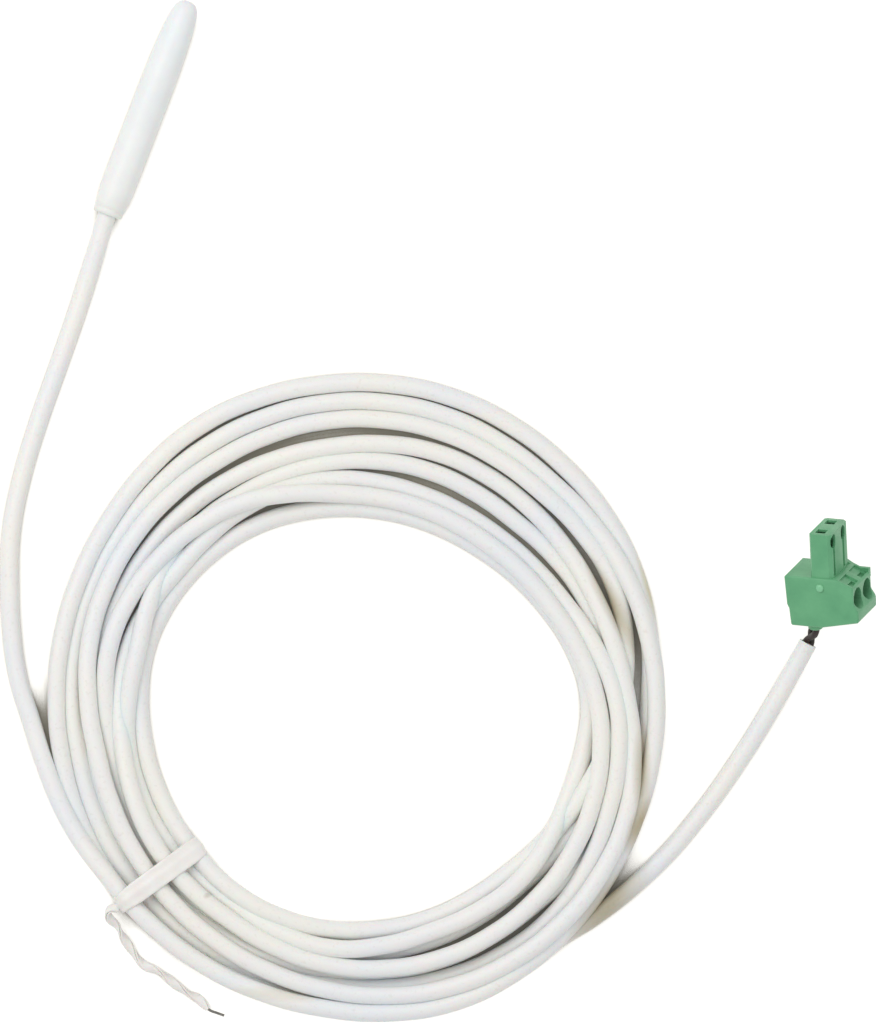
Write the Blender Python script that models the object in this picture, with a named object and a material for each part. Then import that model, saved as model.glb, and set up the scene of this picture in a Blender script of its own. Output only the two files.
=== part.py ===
"""Temperature probe: a moulded sensor capsule on a long two-core lead.

The lead is wound into a tied coil and ends in a two-pole pluggable screw
connector. The capsule lies along +Y with its tip forward. Everything else is
laid out in table coordinates, which are turned about +Z against the capsule.
"""

from math import atan2, cos, pi, radians, sin

import bmesh
import bpy
from mathutils import Euler, Matrix, Vector

MM = 0.001
MERGE = 0.000001

# Clearances between pieces that touch on the real probe
SEAT_GAP = 0.30 * MM
FINE_GAP = 0.15 * MM
CRIMP_GAP = 0.12 * MM

# Sensor capsule
CAPSULE_LENGTH = 44.0 * MM
CAPSULE_RADIUS = 3.25 * MM
TAPER_START = 26.4 * MM
TAPER_POWER = 1.8
NOSE_RADIUS = 2.5 * MM
NOSE_LENGTH = 1.7 * MM
SHOULDER_LENGTH = 2.0 * MM
COLLAR_WALL = 0.55 * MM
TIP_WALL = 5.0 * MM
BORE_GAP = 0.25 * MM
CAPSULE_SIDES = 32

# Lead
LEAD_RADIUS = 1.75 * MM
JACKET_DEPTH = 10.0 * MM
CORE_RADIUS = 0.60 * MM
CORE_STRAND_RADIUS = 0.30 * MM
STRIP_LENGTH = 2.7 * MM

# Splices between the lead's cores and the thermistor's legs, one behind the other;
# their gaps are shares of the bore's length that the sleeves leave free
SPLICE_LEAD_SHARE = 0.275
SPLICE_STAGGER_SHARE = 0.11
SLEEVE_LENGTH = 7.0 * MM
SLEEVE_WALL = 0.20 * MM
CRIMP_LENGTH = 4.6 * MM
CRIMP_WALL = 0.23 * MM
LEG_IN_CRIMP = 1.9 * MM

# Thermistor
BEAD_LENGTH = 3.8 * MM
BEAD_RADIUS = 1.20 * MM
BEAD_BACK_RADIUS = 0.95 * MM
BEAD_FULLEST = 0.6
LEG_RADIUS = 0.18 * MM
LEG_PITCH = 0.84 * MM
LEG_BEND = 3.0 * MM
LEG_SEAT = 0.9 * MM
LEG_HOLE_CLEARANCE = 0.10 * MM

# Table layout: how far the capsule's axis is turned from the table's +Y
TABLE_TURN = radians(20.97)

# Coil of the lead
COIL_CENTRE = (39.8 * MM, -113.2 * MM)
COIL_OUTER = (60.0 * MM, 63.0 * MM)
COIL_INNER = (41.7 * MM, 38.4 * MM)
COIL_INNER_OFFSET = (1.9 * MM, -4.5 * MM)
COIL_STRANDS_AREA = 110.0 * MM * MM
COIL_STATIONS = 48
COIL_CROWN_STEPS = 8
COIL_SQUARENESS = 0.75

# Route points of the lead's two free stretches, table coordinates in metres
ROUTE_TO_COIL = (
    (-0.0090, -0.0243, 0.0029),
    (-0.0109, -0.0305, 0.0023),
    (-0.0139, -0.0399, 0.0018),
    (-0.0175, -0.0502, 0.00175),
    (-0.0212, -0.0607, 0.00175),
    (-0.0243, -0.0711, 0.00175),
    (-0.0263, -0.0815, 0.00175),
    (-0.0266, -0.0916, 0.00175),
    (-0.0262, -0.1007, 0.00175),
    (-0.0249, -0.1097, 0.00175),
    (-0.0224, -0.1178, 0.00175),
    (-0.0200, -0.1222, 0.00175),
)
ROUTE_TO_PLUG = (
    (0.0821, -0.1580, 0.00175),
    (0.0850, -0.1559, 0.00175),
    (0.0975, -0.1456, 0.00175),
    (0.1053, -0.1368, 0.00175),
    (0.1132, -0.1259, 0.0018),
    (0.1198, -0.1153, 0.0021),
    (0.1244, -0.1072, 0.0028),
    (0.1270, -0.1024, 0.0034),
)
ROUTE_SPACING = 8.0 * MM
COIL_POCKET_LENGTH = 14.0 * MM

# Twist tie round the coil
TIE_CENTRE = (1.3 * MM, -148.1 * MM)
TIE_TURN = radians(36.1)
TIE_BACK = 10.95 * MM
TIE_FRONT = 11.4 * MM
TIE_WIDTH = 3.4 * MM
TIE_THICKNESS = 0.80 * MM
TIE_CORNER = 1.6 * MM
TIE_TAIL_WIDTH = 2.2 * MM
TIE_TAIL_TURNS = 2.5
TIE_TAIL_ROUTE = (
    (-0.0074, -0.1546, 0.0022),
    (-0.0080, -0.1556, 0.0017),
    (-0.0059, -0.1578, 0.0014),
    (-0.0047, -0.1605, 0.0013),
    (-0.0026, -0.1631, 0.0013),
    (-0.0006, -0.1650, 0.0013),
    (0.0015, -0.1660, 0.0013),
    (0.0034, -0.1672, 0.0013),
    (0.0055, -0.1689, 0.0013),
    (0.0078, -0.1704, 0.0013),
    (0.0098, -0.1716, 0.0013),
    (0.0117, -0.1730, 0.0013),
)
TIE_TAIL_SPACING = 1.0 * MM
TIE_WIRE_RADIUS = 0.25 * MM
TIE_WIRE_END = (0.0146, -0.1744, 0.0006)

# Plug: local X runs from its back to the screw side, Y from pole to pole, Z to the tip
PLUG_ORIGIN = (122.5 * MM, -99.25 * MM)
PLUG_LEAN = Euler((radians(-67.9), radians(-20.9), radians(-5.2)))
POLE_PITCH = 5.08 * MM
POLE_COUNT = 2
PLUG_LENGTH = 18.9 * MM
PLUG_HEIGHT = 14.9 * MM
BODY_LENGTH = 10.1 * MM
FOOT_INSET = 1.0 * MM
BACK_STEP_HEIGHT = 4.0 * MM
BACK_STEP = 0.35 * MM
ENTRY_LAND = 7.2 * MM
GRIP_START = 1.6 * MM
GRIP_END = 3.8 * MM
GRIP_RAMP = 1.5 * MM
GRIP_HEIGHT = 0.95 * MM
SHOULDER_START = 8.6 * MM
SHOULDER_RUN = 3.4 * MM
SHOULDER_RECESS = (-1.3 * MM, 1.5 * MM)
RECESS_WIDTH = 3.4 * MM
RECESS_DEPTH = 0.4 * MM
TEST_SLOT = (0.4 * MM, 1.5 * MM)
TEST_SLOT_WIDTH = 2.2 * MM
TEST_SLOT_DEPTH = 0.85 * MM
END_RIB_WIDTH = 1.0 * MM
END_RIB_BEND = 11.4 * MM
END_RIB_TOP = 9.4 * MM
END_RIB_RISE = 0.8 * MM
MOULD_EDGE = 0.25 * MM
TOWER_BACK = 5.3 * MM
TOWER_THICKNESS = 4.5 * MM
TOWER_SIDE_STEP = 0.5 * MM
TOWER_WALL = 0.55 * MM
TOWER_BACK_EDGE = 0.40 * MM
TOWER_FRONT_EDGE = 0.70 * MM
TIP_FACE_WALL = 0.50 * MM
PIN_OPENING = 2.0 * MM
PIN_SET_BACK = 0.35 * MM
CHAMBER_WIDTH = 3.0 * MM
WINDOW_WIDTH = 2.0 * MM
WINDOW_LENGTH = 2.9 * MM
WINDOW_FROM_TIP = 1.6 * MM
WINDOW_SHIFT = -0.6 * MM
WINDOW_GROOVE_WIDTH = 0.9 * MM
WINDOW_GROOVE_DEPTH = 0.3 * MM
PIP_RADIUS = 0.55 * MM
PIP_HEIGHT = 0.25 * MM
PIP_X = 7.5 * MM
PIP_Z = 8.0 * MM

# Wire entries, clamps and contacts in the plug
ENTRY_X = 5.1 * MM
ENTRY_COLLAR_RADIUS = 1.45 * MM
ENTRY_COLLAR_REACH = 1.2 * MM
ENTRY_MOUTH_RADIUS = 1.15 * MM
ENTRY_THROAT_RADIUS = 0.95 * MM
PLUG_CORE_RADIUS = 0.65 * MM
PLUG_CORE_DEPTH = 1.5 * MM
FAR_CORE_BEND = (128.3 * MM, -100.1 * MM, 3.2 * MM)
CONDUCTOR_RADIUS = 0.50 * MM
SCREW_Z = 5.9 * MM
CAGE_LENGTH = 5.0 * MM
CAGE_WIDTH = 3.7 * MM
CAGE_SIDE_WALL = 0.45 * MM
CAGE_FLOOR = 0.75 * MM
CAGE_TOP = 1.0 * MM
CAGE_TRAVEL = 1.2 * MM
CAGE_CLEARANCE = 0.20 * MM
TONGUE_THICKNESS = 0.70 * MM
SCREW_RADIUS = 1.25 * MM
SCREW_POINT = 0.35 * MM
SCREW_HEAD_RADIUS = 1.85 * MM
SCREW_HEAD_LENGTH = 1.5 * MM
SCREW_SLOT_WIDTH = 0.6 * MM
SCREW_SLOT_DEPTH = 0.9 * MM
SCREW_WELL_RADIUS = 2.05 * MM
LEDGE = 0.4 * MM
CONTACT_THICKNESS = 1.8 * MM
CONTACT_BASE = 1.3 * MM
ARM_THICKNESS = 0.60 * MM
ARM_NIP = 0.60 * MM
ARM_FLARE = 0.25 * MM

# Sizes that follow from the ones above
POLES = tuple(range(1, POLE_COUNT + 1))
BEAD_START = CAPSULE_LENGTH - TIP_WALL - SEAT_GAP - BEAD_LENGTH
SPLICE_ROOM = BEAD_START - JACKET_DEPTH - POLE_COUNT * SLEEVE_LENGTH
SPLICE_1_START = JACKET_DEPTH + SPLICE_LEAD_SHARE * SPLICE_ROOM
SPLICE_2_START = SPLICE_1_START + SLEEVE_LENGTH + SPLICE_STAGGER_SHARE * SPLICE_ROOM
SPLICE_STARTS = (SPLICE_1_START, SPLICE_2_START)
MOUTH_RADIUS = LEAD_RADIUS + SEAT_GAP
SLEEVE_BORE = CORE_RADIUS + FINE_GAP
SLEEVE_RADIUS = SLEEVE_BORE + SLEEVE_WALL
CRIMP_BORE = CORE_STRAND_RADIUS + CRIMP_GAP
CRIMP_RADIUS = CRIMP_BORE + CRIMP_WALL
CORE_OFFSET = (SLEEVE_RADIUS + CORE_RADIUS + FINE_GAP) / 2
CAPSULE_BORE = CORE_OFFSET + SLEEVE_RADIUS + BORE_GAP
PLUG_WIDTH = POLE_PITCH * POLE_COUNT
SCREW_FACE_X = PLUG_HEIGHT - GRIP_HEIGHT
SHOULDER_SLOPE = atan2(BODY_LENGTH - SHOULDER_START, SHOULDER_RUN)
TOWER_FACE_X = TOWER_BACK + TOWER_THICKNESS
PIN_X = TOWER_BACK + TOWER_THICKNESS / 2 - PIN_SET_BACK
TONGUE_X = ENTRY_X + CONDUCTOR_RADIUS + FINE_GAP
SCREW_POINT_X = TONGUE_X + TONGUE_THICKNESS + FINE_GAP
CAGE_FLOOR_X = ENTRY_X - CONDUCTOR_RADIUS - FINE_GAP
CAGE_TOP_X = TONGUE_X + TONGUE_THICKNESS + CAGE_TRAVEL + 3 * FINE_GAP
CAVITY_TOP_X = CAGE_TOP_X + CAGE_TOP + SEAT_GAP
LEDGE_X = CAVITY_TOP_X + LEDGE
SCREW_HEAD_X = LEDGE_X + CAGE_CLEARANCE


def clear_scene():
    """Takes away whatever the scene holds."""
    for old in list(bpy.data.objects):
        bpy.data.objects.remove(old, do_unlink=True)


def finish(name, color, roughness, metallic=0.0):
    """Makes a plain surface finish."""
    material = bpy.data.materials.new(name)
    material.use_nodes = True
    shader = material.node_tree.nodes["Principled BSDF"]
    shader.inputs["Base Color"].default_value = (*color, 1.0)
    shader.inputs["Roughness"].default_value = roughness
    shader.inputs["Metallic"].default_value = metallic
    material.diffuse_color = (*color, 1.0)
    return material


def guide(name, parent=None, place=Matrix.Identity(4)):
    """Makes an empty that carries pieces."""
    empty = bpy.data.objects.new(name, None)
    bpy.context.collection.objects.link(empty)
    empty.parent = parent
    empty.matrix_basis = place
    return empty


def piece(name, shape, material, parent=None, place=Matrix.Identity(4), smooth_below=38):
    """Turns a bmesh into a named object with outward faces."""
    bmesh.ops.remove_doubles(shape, verts=shape.verts, dist=MERGE)
    bmesh.ops.recalc_face_normals(shape, faces=shape.faces)
    mesh = bpy.data.meshes.new(name)
    shape.to_mesh(mesh)
    shape.free()
    mesh.shade_smooth()
    mesh.set_sharp_from_angle(angle=radians(smooth_below))
    mesh.materials.append(material)
    made = bpy.data.objects.new(name, mesh)
    bpy.context.collection.objects.link(made)
    made.parent = parent
    made.matrix_basis = place
    return made


def turned(outline, sides, closed=True):
    """Turns an outline of (radius, height) pairs about Z; an open one starts and ends on Z."""
    shape = bmesh.new()
    points = [shape.verts.new((radius, 0.0, height)) for radius, height in outline]
    pairs = list(zip(points, points[1:]))
    if closed:
        pairs.append((points[-1], points[0]))
    edges = [shape.edges.new(pair) for pair in pairs]
    bmesh.ops.spin(
        shape,
        geom=points + edges,
        cent=(0, 0, 0),
        axis=(0, 0, 1),
        angle=2 * pi,
        steps=sides,
        use_merge=True,
    )
    return shape


def rod(radius, low, high, sides=16, chamfer=0.0):
    """A round bar about Z, with a chamfer at its low end."""
    outline = [(0, low), (radius - chamfer, low)]
    if chamfer:
        outline.append((radius, low + chamfer))
    outline += [(radius, high), (0, high)]
    return turned(outline, sides, closed=False)


def tube(bore, radius, low, high, sides=16):
    """A plain sleeve about Z."""
    return turned([(bore, low), (radius, low), (radius, high), (bore, high)], sides)


def slab(outline, plane, low, high):
    """Extrudes a closed outline drawn in one plane along the axis square to it."""
    lift = {
        "XZ": lambda a, b, t: (a, t, b),
        "XY": lambda a, b, t: (a, b, t),
        "YZ": lambda a, b, t: (t, a, b),
    }[plane]
    shape = bmesh.new()
    near = [shape.verts.new(lift(a, b, low)) for a, b in outline]
    far = [shape.verts.new(lift(a, b, high)) for a, b in outline]
    shape.faces.new(near)
    shape.faces.new(list(reversed(far)))
    for i in range(len(outline)):
        j = (i + 1) % len(outline)
        shape.faces.new((near[i], far[i], far[j], near[j]))
    return shape


def block(x, y, z):
    """A box between pairs of X, Y and Z."""
    outline = [(x[0], z[0]), (x[1], z[0]), (x[1], z[1]), (x[0], z[1])]
    return slab(outline, "XZ", y[0], y[1])


def rounded_box(x, y, radius):
    """The outline of a rectangle with round corners."""
    steps = 4
    corners = (
        (x[1] - radius, y[1] - radius, 0.0),
        (x[0] + radius, y[1] - radius, pi / 2),
        (x[0] + radius, y[0] + radius, pi),
        (x[1] - radius, y[0] + radius, 3 * pi / 2),
    )
    outline = []
    for centre_x, centre_y, start in corners:
        for step in range(steps + 1):
            angle = start + pi / 2 * step / steps
            outline.append((centre_x + radius * cos(angle), centre_y + radius * sin(angle)))
    return outline


def hoop(outer, inner, low, high):
    """A closed band between two XZ outlines that have the same number of points."""
    shape = bmesh.new()
    rims = []
    for outline in (outer, inner):
        for depth in (low, high):
            rims.append([shape.verts.new((a, depth, b)) for a, b in outline])
    outer_near, outer_far, inner_near, inner_far = rims
    for i in range(len(outer)):
        j = (i + 1) % len(outer)
        shape.faces.new((outer_near[i], outer_near[j], outer_far[j], outer_far[i]))
        shape.faces.new((inner_near[j], inner_near[i], inner_far[i], inner_far[j]))
        shape.faces.new((outer_near[j], outer_near[i], inner_near[i], inner_near[j]))
        shape.faces.new((outer_far[i], outer_far[j], inner_far[j], inner_far[i]))
    return shape


def smooth_route(points, spacing):
    """Points at an even spacing along a smooth curve through the route's points."""
    points = [Vector(point) for point in points]
    ends = [2 * points[0] - points[1], *points, 2 * points[-1] - points[-2]]
    fine = []
    steps = 24
    for before, start, end, after in zip(ends, ends[1:], ends[2:], ends[3:]):
        for step in range(steps):
            t = step / steps
            fine.append(
                0.5
                * (
                    2 * start
                    + (end - before) * t
                    + (2 * before - 5 * start + 4 * end - after) * t**2
                    + (3 * start - before - 3 * end + after) * t**3
                )
            )
    fine.append(points[-1])
    along = [0.0]
    for start, end in zip(fine, fine[1:]):
        along.append(along[-1] + (end - start).length)
    count = max(2, round(along[-1] / spacing))
    route = []
    index = 0
    for number in range(count + 1):
        target = along[-1] * number / count
        while index < len(fine) - 2 and along[index + 1] < target:
            index += 1
        share = (target - along[index]) / (along[index + 1] - along[index])
        route.append(fine[index].lerp(fine[index + 1], min(share, 1.0)))
    return route


def wire(name, route, radius, material, parent=None, resolution=2):
    """A round wire or cord along a route, closed at both ends."""
    curve = bpy.data.curves.new(name, "CURVE")
    curve.dimensions = "3D"
    curve.resolution_u = 1
    curve.render_resolution_u = 0
    curve.bevel_depth = radius
    curve.bevel_resolution = resolution
    curve.use_fill_caps = True
    line = curve.splines.new("POLY")
    line.points.add(len(route) - 1)
    for point, place in zip(line.points, route):
        point.co = (*place, 1.0)
    curve.materials.append(material)
    made = bpy.data.objects.new(name, curve)
    bpy.context.collection.objects.link(made)
    made.parent = parent
    return made


def combine(target, tool, operation="DIFFERENCE"):
    """Cuts a hidden tool out of a piece, or joins it on."""
    tool.hide_render = True
    tool.display_type = "WIRE"
    step = target.modifiers.new(tool.name, "BOOLEAN")
    step.operation = operation
    step.object = tool
    step.solver = "EXACT"


def capsule_outline():
    """The capsule's section: the bore, the shoulder, the barrel, the taper and the nose."""
    bore_end = CAPSULE_LENGTH - TIP_WALL
    seat_end = JACKET_DEPTH + SEAT_GAP / 2
    outline = [
        (0, bore_end),
        (CAPSULE_BORE, bore_end),
        (CAPSULE_BORE, seat_end),
        (MOUTH_RADIUS, seat_end),
        (MOUTH_RADIUS, 0),
    ]
    collar = MOUTH_RADIUS + COLLAR_WALL
    for step in range(5):
        angle = pi / 2 * step / 4
        radius = collar + (CAPSULE_RADIUS - collar) * sin(angle)
        outline.append((radius, SHOULDER_LENGTH * (1 - cos(angle))))
    taper_end = CAPSULE_LENGTH - NOSE_LENGTH
    for step in range(7):
        share = step / 6
        radius = CAPSULE_RADIUS - (CAPSULE_RADIUS - NOSE_RADIUS) * share**TAPER_POWER
        outline.append((radius, TAPER_START + (taper_end - TAPER_START) * share))
    for step in range(1, 5):
        angle = pi / 2 * step / 5
        outline.append((NOSE_RADIUS * cos(angle), taper_end + NOSE_LENGTH * sin(angle)))
    outline.append((0, CAPSULE_LENGTH))
    return outline


def make_capsule(finishes, axis):
    """The moulded capsule, open at the lead end."""
    shape = turned(capsule_outline(), CAPSULE_SIDES, closed=False)
    piece("probe_capsule", shape, finishes["capsule"], axis)


def make_thermistor(finishes, axis):
    """The dipped bead near the tip and its two legs."""
    bead_end = BEAD_START + BEAD_LENGTH
    fullest = BEAD_START + BEAD_FULLEST * BEAD_LENGTH
    outline = [(0, BEAD_START), (BEAD_BACK_RADIUS, BEAD_START)]
    for step in range(1, 4):
        angle = pi / 2 * step / 3
        bulge = (BEAD_RADIUS - BEAD_BACK_RADIUS) * sin(angle)
        outline.append((BEAD_BACK_RADIUS + bulge, BEAD_START + (fullest - BEAD_START) * step / 3))
    for step in range(1, 5):
        angle = pi / 2 * step / 4
        outline.append((BEAD_RADIUS * cos(angle), fullest + (bead_end - fullest) * sin(angle)))
    outline[-1] = (0, bead_end)
    bead = piece("thermistor_bead", turned(outline, 16, closed=False), finishes["bead"], axis)
    for number, side in zip(POLES, (-1, 1)):
        hole_end = BEAD_START + LEG_SEAT + FINE_GAP
        hole = rod(LEG_RADIUS + LEG_HOLE_CLEARANCE, BEAD_START - SEAT_GAP, hole_end, 12)
        place = Matrix.Translation((side * LEG_PITCH / 2, 0, 0))
        combine(bead, piece(f"leg_hole_{number}", hole, finishes["bead"], axis, place))
        crimp_end = SPLICE_STARTS[number - 1] + (SLEEVE_LENGTH + CRIMP_LENGTH) / 2
        leg_start = crimp_end - LEG_IN_CRIMP
        bend_end = BEAD_START - SEAT_GAP
        route = (
            (side * CORE_OFFSET, 0, leg_start),
            (side * CORE_OFFSET, 0, bend_end - LEG_BEND),
            (side * LEG_PITCH / 2, 0, bend_end),
            (side * LEG_PITCH / 2, 0, BEAD_START + LEG_SEAT),
        )
        wire(f"thermistor_leg_{number}", route, LEG_RADIUS, finishes["tinned"], axis)


def make_splices(finishes, axis):
    """Each core of the lead, its crimp and the shrunk sleeve over it."""
    for number, side, start in zip(POLES, (-1, 1), SPLICE_STARTS):
        place = Matrix.Translation((side * CORE_OFFSET, 0, 0))
        sleeve = tube(SLEEVE_BORE, SLEEVE_RADIUS, start, start + SLEEVE_LENGTH)
        piece(f"splice_sleeve_{number}", sleeve, finishes["sleeve"], axis, place)
        crimp_start = start + (SLEEVE_LENGTH - CRIMP_LENGTH) / 2
        crimp = tube(CRIMP_BORE, CRIMP_RADIUS, crimp_start, crimp_start + CRIMP_LENGTH)
        piece(f"splice_crimp_{number}", crimp, finishes["tinned"], axis, place)
        strip = crimp_start - SEAT_GAP
        outline = (
            (0, JACKET_DEPTH + SEAT_GAP),
            (CORE_RADIUS, JACKET_DEPTH + SEAT_GAP),
            (CORE_RADIUS, strip),
            (CORE_STRAND_RADIUS, strip),
            (CORE_STRAND_RADIUS, strip + STRIP_LENGTH - SEAT_GAP),
            (0, strip + STRIP_LENGTH - SEAT_GAP),
        )
        core = turned(outline, 12, closed=False)
        piece(f"sensor_core_{number}", core, finishes["core"], axis, place)


def coil_section(angle):
    """Inner point, outer point and height of the coil at one angle round it."""
    outer = Vector((COIL_OUTER[0] * cos(angle), COIL_OUTER[1] * sin(angle), 0))
    inner = Vector((COIL_INNER[0] * cos(angle), COIL_INNER[1] * sin(angle), 0))
    inner += Vector((*COIL_INNER_OFFSET, 0))
    return inner, outer, COIL_STRANDS_AREA / (outer - inner).length


def coil_ring():
    """One closed ring with a flat underside and a low crown, wider where fewer strands lie on others."""
    shape = bmesh.new()
    rings = []
    for station in range(COIL_STATIONS):
        inner, outer, height = coil_section(2 * pi * station / COIL_STATIONS)
        middle = (inner + outer) / 2
        reach = (outer - inner) / 2
        ring = []
        for step in range(COIL_CROWN_STEPS + 1):
            angle = pi * step / COIL_CROWN_STEPS
            across = abs(cos(angle)) ** COIL_SQUARENESS * (1 if cos(angle) > 0 else -1)
            rise = LEAD_RADIUS / 2
            if 0 < step < COIL_CROWN_STEPS:
                rise = height * sin(angle) ** COIL_SQUARENESS
            ring.append(shape.verts.new(middle + reach * across + Vector((0, 0, rise))))
        for side in (-1, 1):
            foot = middle + side * reach * (1 - LEAD_RADIUS / (2 * reach.length))
            ring.append(shape.verts.new(foot))
        rings.append(ring)
    for start, end in zip(rings, rings[1:] + rings[:1]):
        for i in range(len(start)):
            j = (i + 1) % len(start)
            shape.faces.new((start[i], end[i], end[j], start[j]))
    return shape


def along_probe(distance):
    """A point on the capsule's axis, in table coordinates, by its distance from the lead end."""
    forward = distance - CAPSULE_LENGTH / 2
    return (forward * sin(TABLE_TURN), forward * cos(TABLE_TURN), CAPSULE_RADIUS)


def pocket(name, tip, back, material, parent):
    """A hidden round tool round the end of a lead, from its tip back along it."""
    tip, back = Vector(tip), Vector(back)
    direction = (back - tip).normalized()
    turn = direction.to_track_quat("Z", "Y").to_matrix().to_4x4()
    shape = rod(LEAD_RADIUS + SEAT_GAP, -SEAT_GAP, COIL_POCKET_LENGTH, 24)
    return piece(name, shape, material, parent, Matrix.Translation(tip) @ turn)


def make_lead(finishes, table):
    """The lead's free stretches and its coil."""
    to_coil = [along_probe(JACKET_DEPTH), along_probe(0), *ROUTE_TO_COIL]
    to_coil = smooth_route(to_coil, ROUTE_SPACING)
    to_plug = smooth_route(ROUTE_TO_PLUG, ROUTE_SPACING)
    wire("lead_to_coil", to_coil, LEAD_RADIUS, finishes["lead"], table)
    wire("lead_to_plug", to_plug, LEAD_RADIUS, finishes["lead"], table)
    place = Matrix.Translation((*COIL_CENTRE, 0))
    coil = piece("lead_coil", coil_ring(), finishes["lead"], table, place)
    combine(coil, pocket("coil_pocket_in", to_coil[-1], to_coil[-2], finishes["lead"], table))
    combine(coil, pocket("coil_pocket_out", to_plug[0], to_plug[1], finishes["lead"], table))
    return coil


def ribbon(route, width, thickness, turns):
    """A flat strip along a route, twisted evenly from end to end."""
    shape = bmesh.new()
    last = len(route) - 1
    rings = []
    for index, point in enumerate(route):
        ahead = route[min(index + 1, last)] - route[max(index - 1, 0)]
        ahead.normalize()
        side = ahead.cross(Vector((0, 0, 1))).normalized()
        up = side.cross(ahead)
        angle = 2 * pi * turns * index / last
        flat = side * cos(angle) + up * sin(angle)
        edge = up * cos(angle) - side * sin(angle)
        ring = []
        for across, through in ((-1, -1), (1, -1), (1, 1), (-1, 1)):
            corner = flat * across * width / 2 + edge * through * thickness / 2
            ring.append(shape.verts.new(point + corner))
        rings.append(ring)
    shape.faces.new(rings[0])
    shape.faces.new(list(reversed(rings[-1])))
    for start, end in zip(rings, rings[1:]):
        for i in range(4):
            j = (i + 1) % 4
            shape.faces.new((start[i], end[i], end[j], start[j]))
    return shape


def make_tie(finishes, table, coil):
    """The twist tie: a flat loop round the coil, its twisted tail and the wire that shows at the end."""
    lean = Matrix.Translation((*TIE_CENTRE, 0)) @ Matrix.Rotation(TIE_TURN, 4, "Z")
    seat = guide("tie_seat", table, lean)
    crown = coil_section(TIE_TURN + pi)[2] + SEAT_GAP
    outer_line = rounded_box((-TIE_BACK, TIE_FRONT), (0, crown + TIE_THICKNESS), TIE_CORNER)
    inner_line = rounded_box(
        (-TIE_BACK + TIE_THICKNESS, TIE_FRONT - TIE_THICKNESS),
        (TIE_THICKNESS, crown),
        TIE_CORNER - TIE_THICKNESS,
    )
    band = hoop(outer_line, inner_line, -TIE_WIDTH / 2, TIE_WIDTH / 2)
    tie = piece("tie_strip", band, finishes["tie"], seat)
    under = block(
        (-TIE_BACK - SEAT_GAP, TIE_FRONT + SEAT_GAP),
        (-TIE_WIDTH / 2 - SEAT_GAP, TIE_WIDTH / 2 + SEAT_GAP),
        (-TIE_THICKNESS, TIE_THICKNESS + SEAT_GAP),
    )
    combine(coil, piece("tie_bed", under, finishes["tie"], seat))
    route = smooth_route(TIE_TAIL_ROUTE, TIE_TAIL_SPACING)
    tail = ribbon(route, TIE_TAIL_WIDTH, TIE_THICKNESS, TIE_TAIL_TURNS)
    combine(tie, piece("tie_tail", tail, finishes["tie"], table), "UNION")
    end = route[-1]
    wire_end = Vector(TIE_WIRE_END)
    wire_start = end + (wire_end - end).normalized() * SEAT_GAP
    route = (wire_start, wire_start.lerp(wire_end, 0.5), wire_end)
    wire("tie_wire", route, TIE_WIRE_RADIUS, finishes["tie_steel"], table)


def pole_y(number):
    """The middle of one pole, across the plug."""
    return POLE_PITCH * (number - 0.5)


def housing_outline():
    """The plug body's side outline, from the wire face round to the back."""
    return (
        (FOOT_INSET, 0),
        (ENTRY_LAND, 0),
        (PLUG_HEIGHT, GRIP_START),
        (PLUG_HEIGHT, GRIP_END),
        (SCREW_FACE_X, GRIP_END + GRIP_RAMP),
        (SCREW_FACE_X, SHOULDER_START),
        (SCREW_FACE_X - SHOULDER_RUN, BODY_LENGTH),
        (0, BODY_LENGTH),
        (BACK_STEP, BACK_STEP_HEIGHT),
        (2 * BACK_STEP, BACK_STEP_HEIGHT - BACK_STEP),
    )


def end_rib_outline():
    """The rib that stands on the shoulder at the plug's far end."""
    start = TOWER_FACE_X - END_RIB_RISE
    return (
        (start, BODY_LENGTH - MM),
        (SCREW_FACE_X, SHOULDER_START - MM),
        (SCREW_FACE_X, END_RIB_TOP),
        (END_RIB_BEND, END_RIB_TOP),
        (start, BODY_LENGTH + END_RIB_RISE),
    )


def tower_outline():
    """The contact tower's section across the tip, its long edges cut back, the front ones more."""
    near = TOWER_SIDE_STEP
    far = PLUG_WIDTH - TOWER_SIDE_STEP
    return (
        (TOWER_BACK + TOWER_BACK_EDGE, near),
        (TOWER_FACE_X - TOWER_FRONT_EDGE, near),
        (TOWER_FACE_X, near + TOWER_FRONT_EDGE),
        (TOWER_FACE_X, far - TOWER_FRONT_EDGE),
        (TOWER_FACE_X - TOWER_FRONT_EDGE, far),
        (TOWER_BACK + TOWER_BACK_EDGE, far),
        (TOWER_BACK, far - TOWER_BACK_EDGE),
        (TOWER_BACK, near + TOWER_BACK_EDGE),
    )


def oval(centre, width, length, steps=6):
    """A slot outline with round ends, its length along the second coordinate."""
    radius = width / 2
    reach = length / 2 - radius
    outline = []
    for end, start in ((1, 0.0), (-1, pi)):
        for step in range(steps + 1):
            angle = start + pi * step / steps
            across = centre[0] + radius * cos(angle)
            outline.append((across, centre[1] + end * reach + radius * sin(angle)))
    return outline


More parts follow.
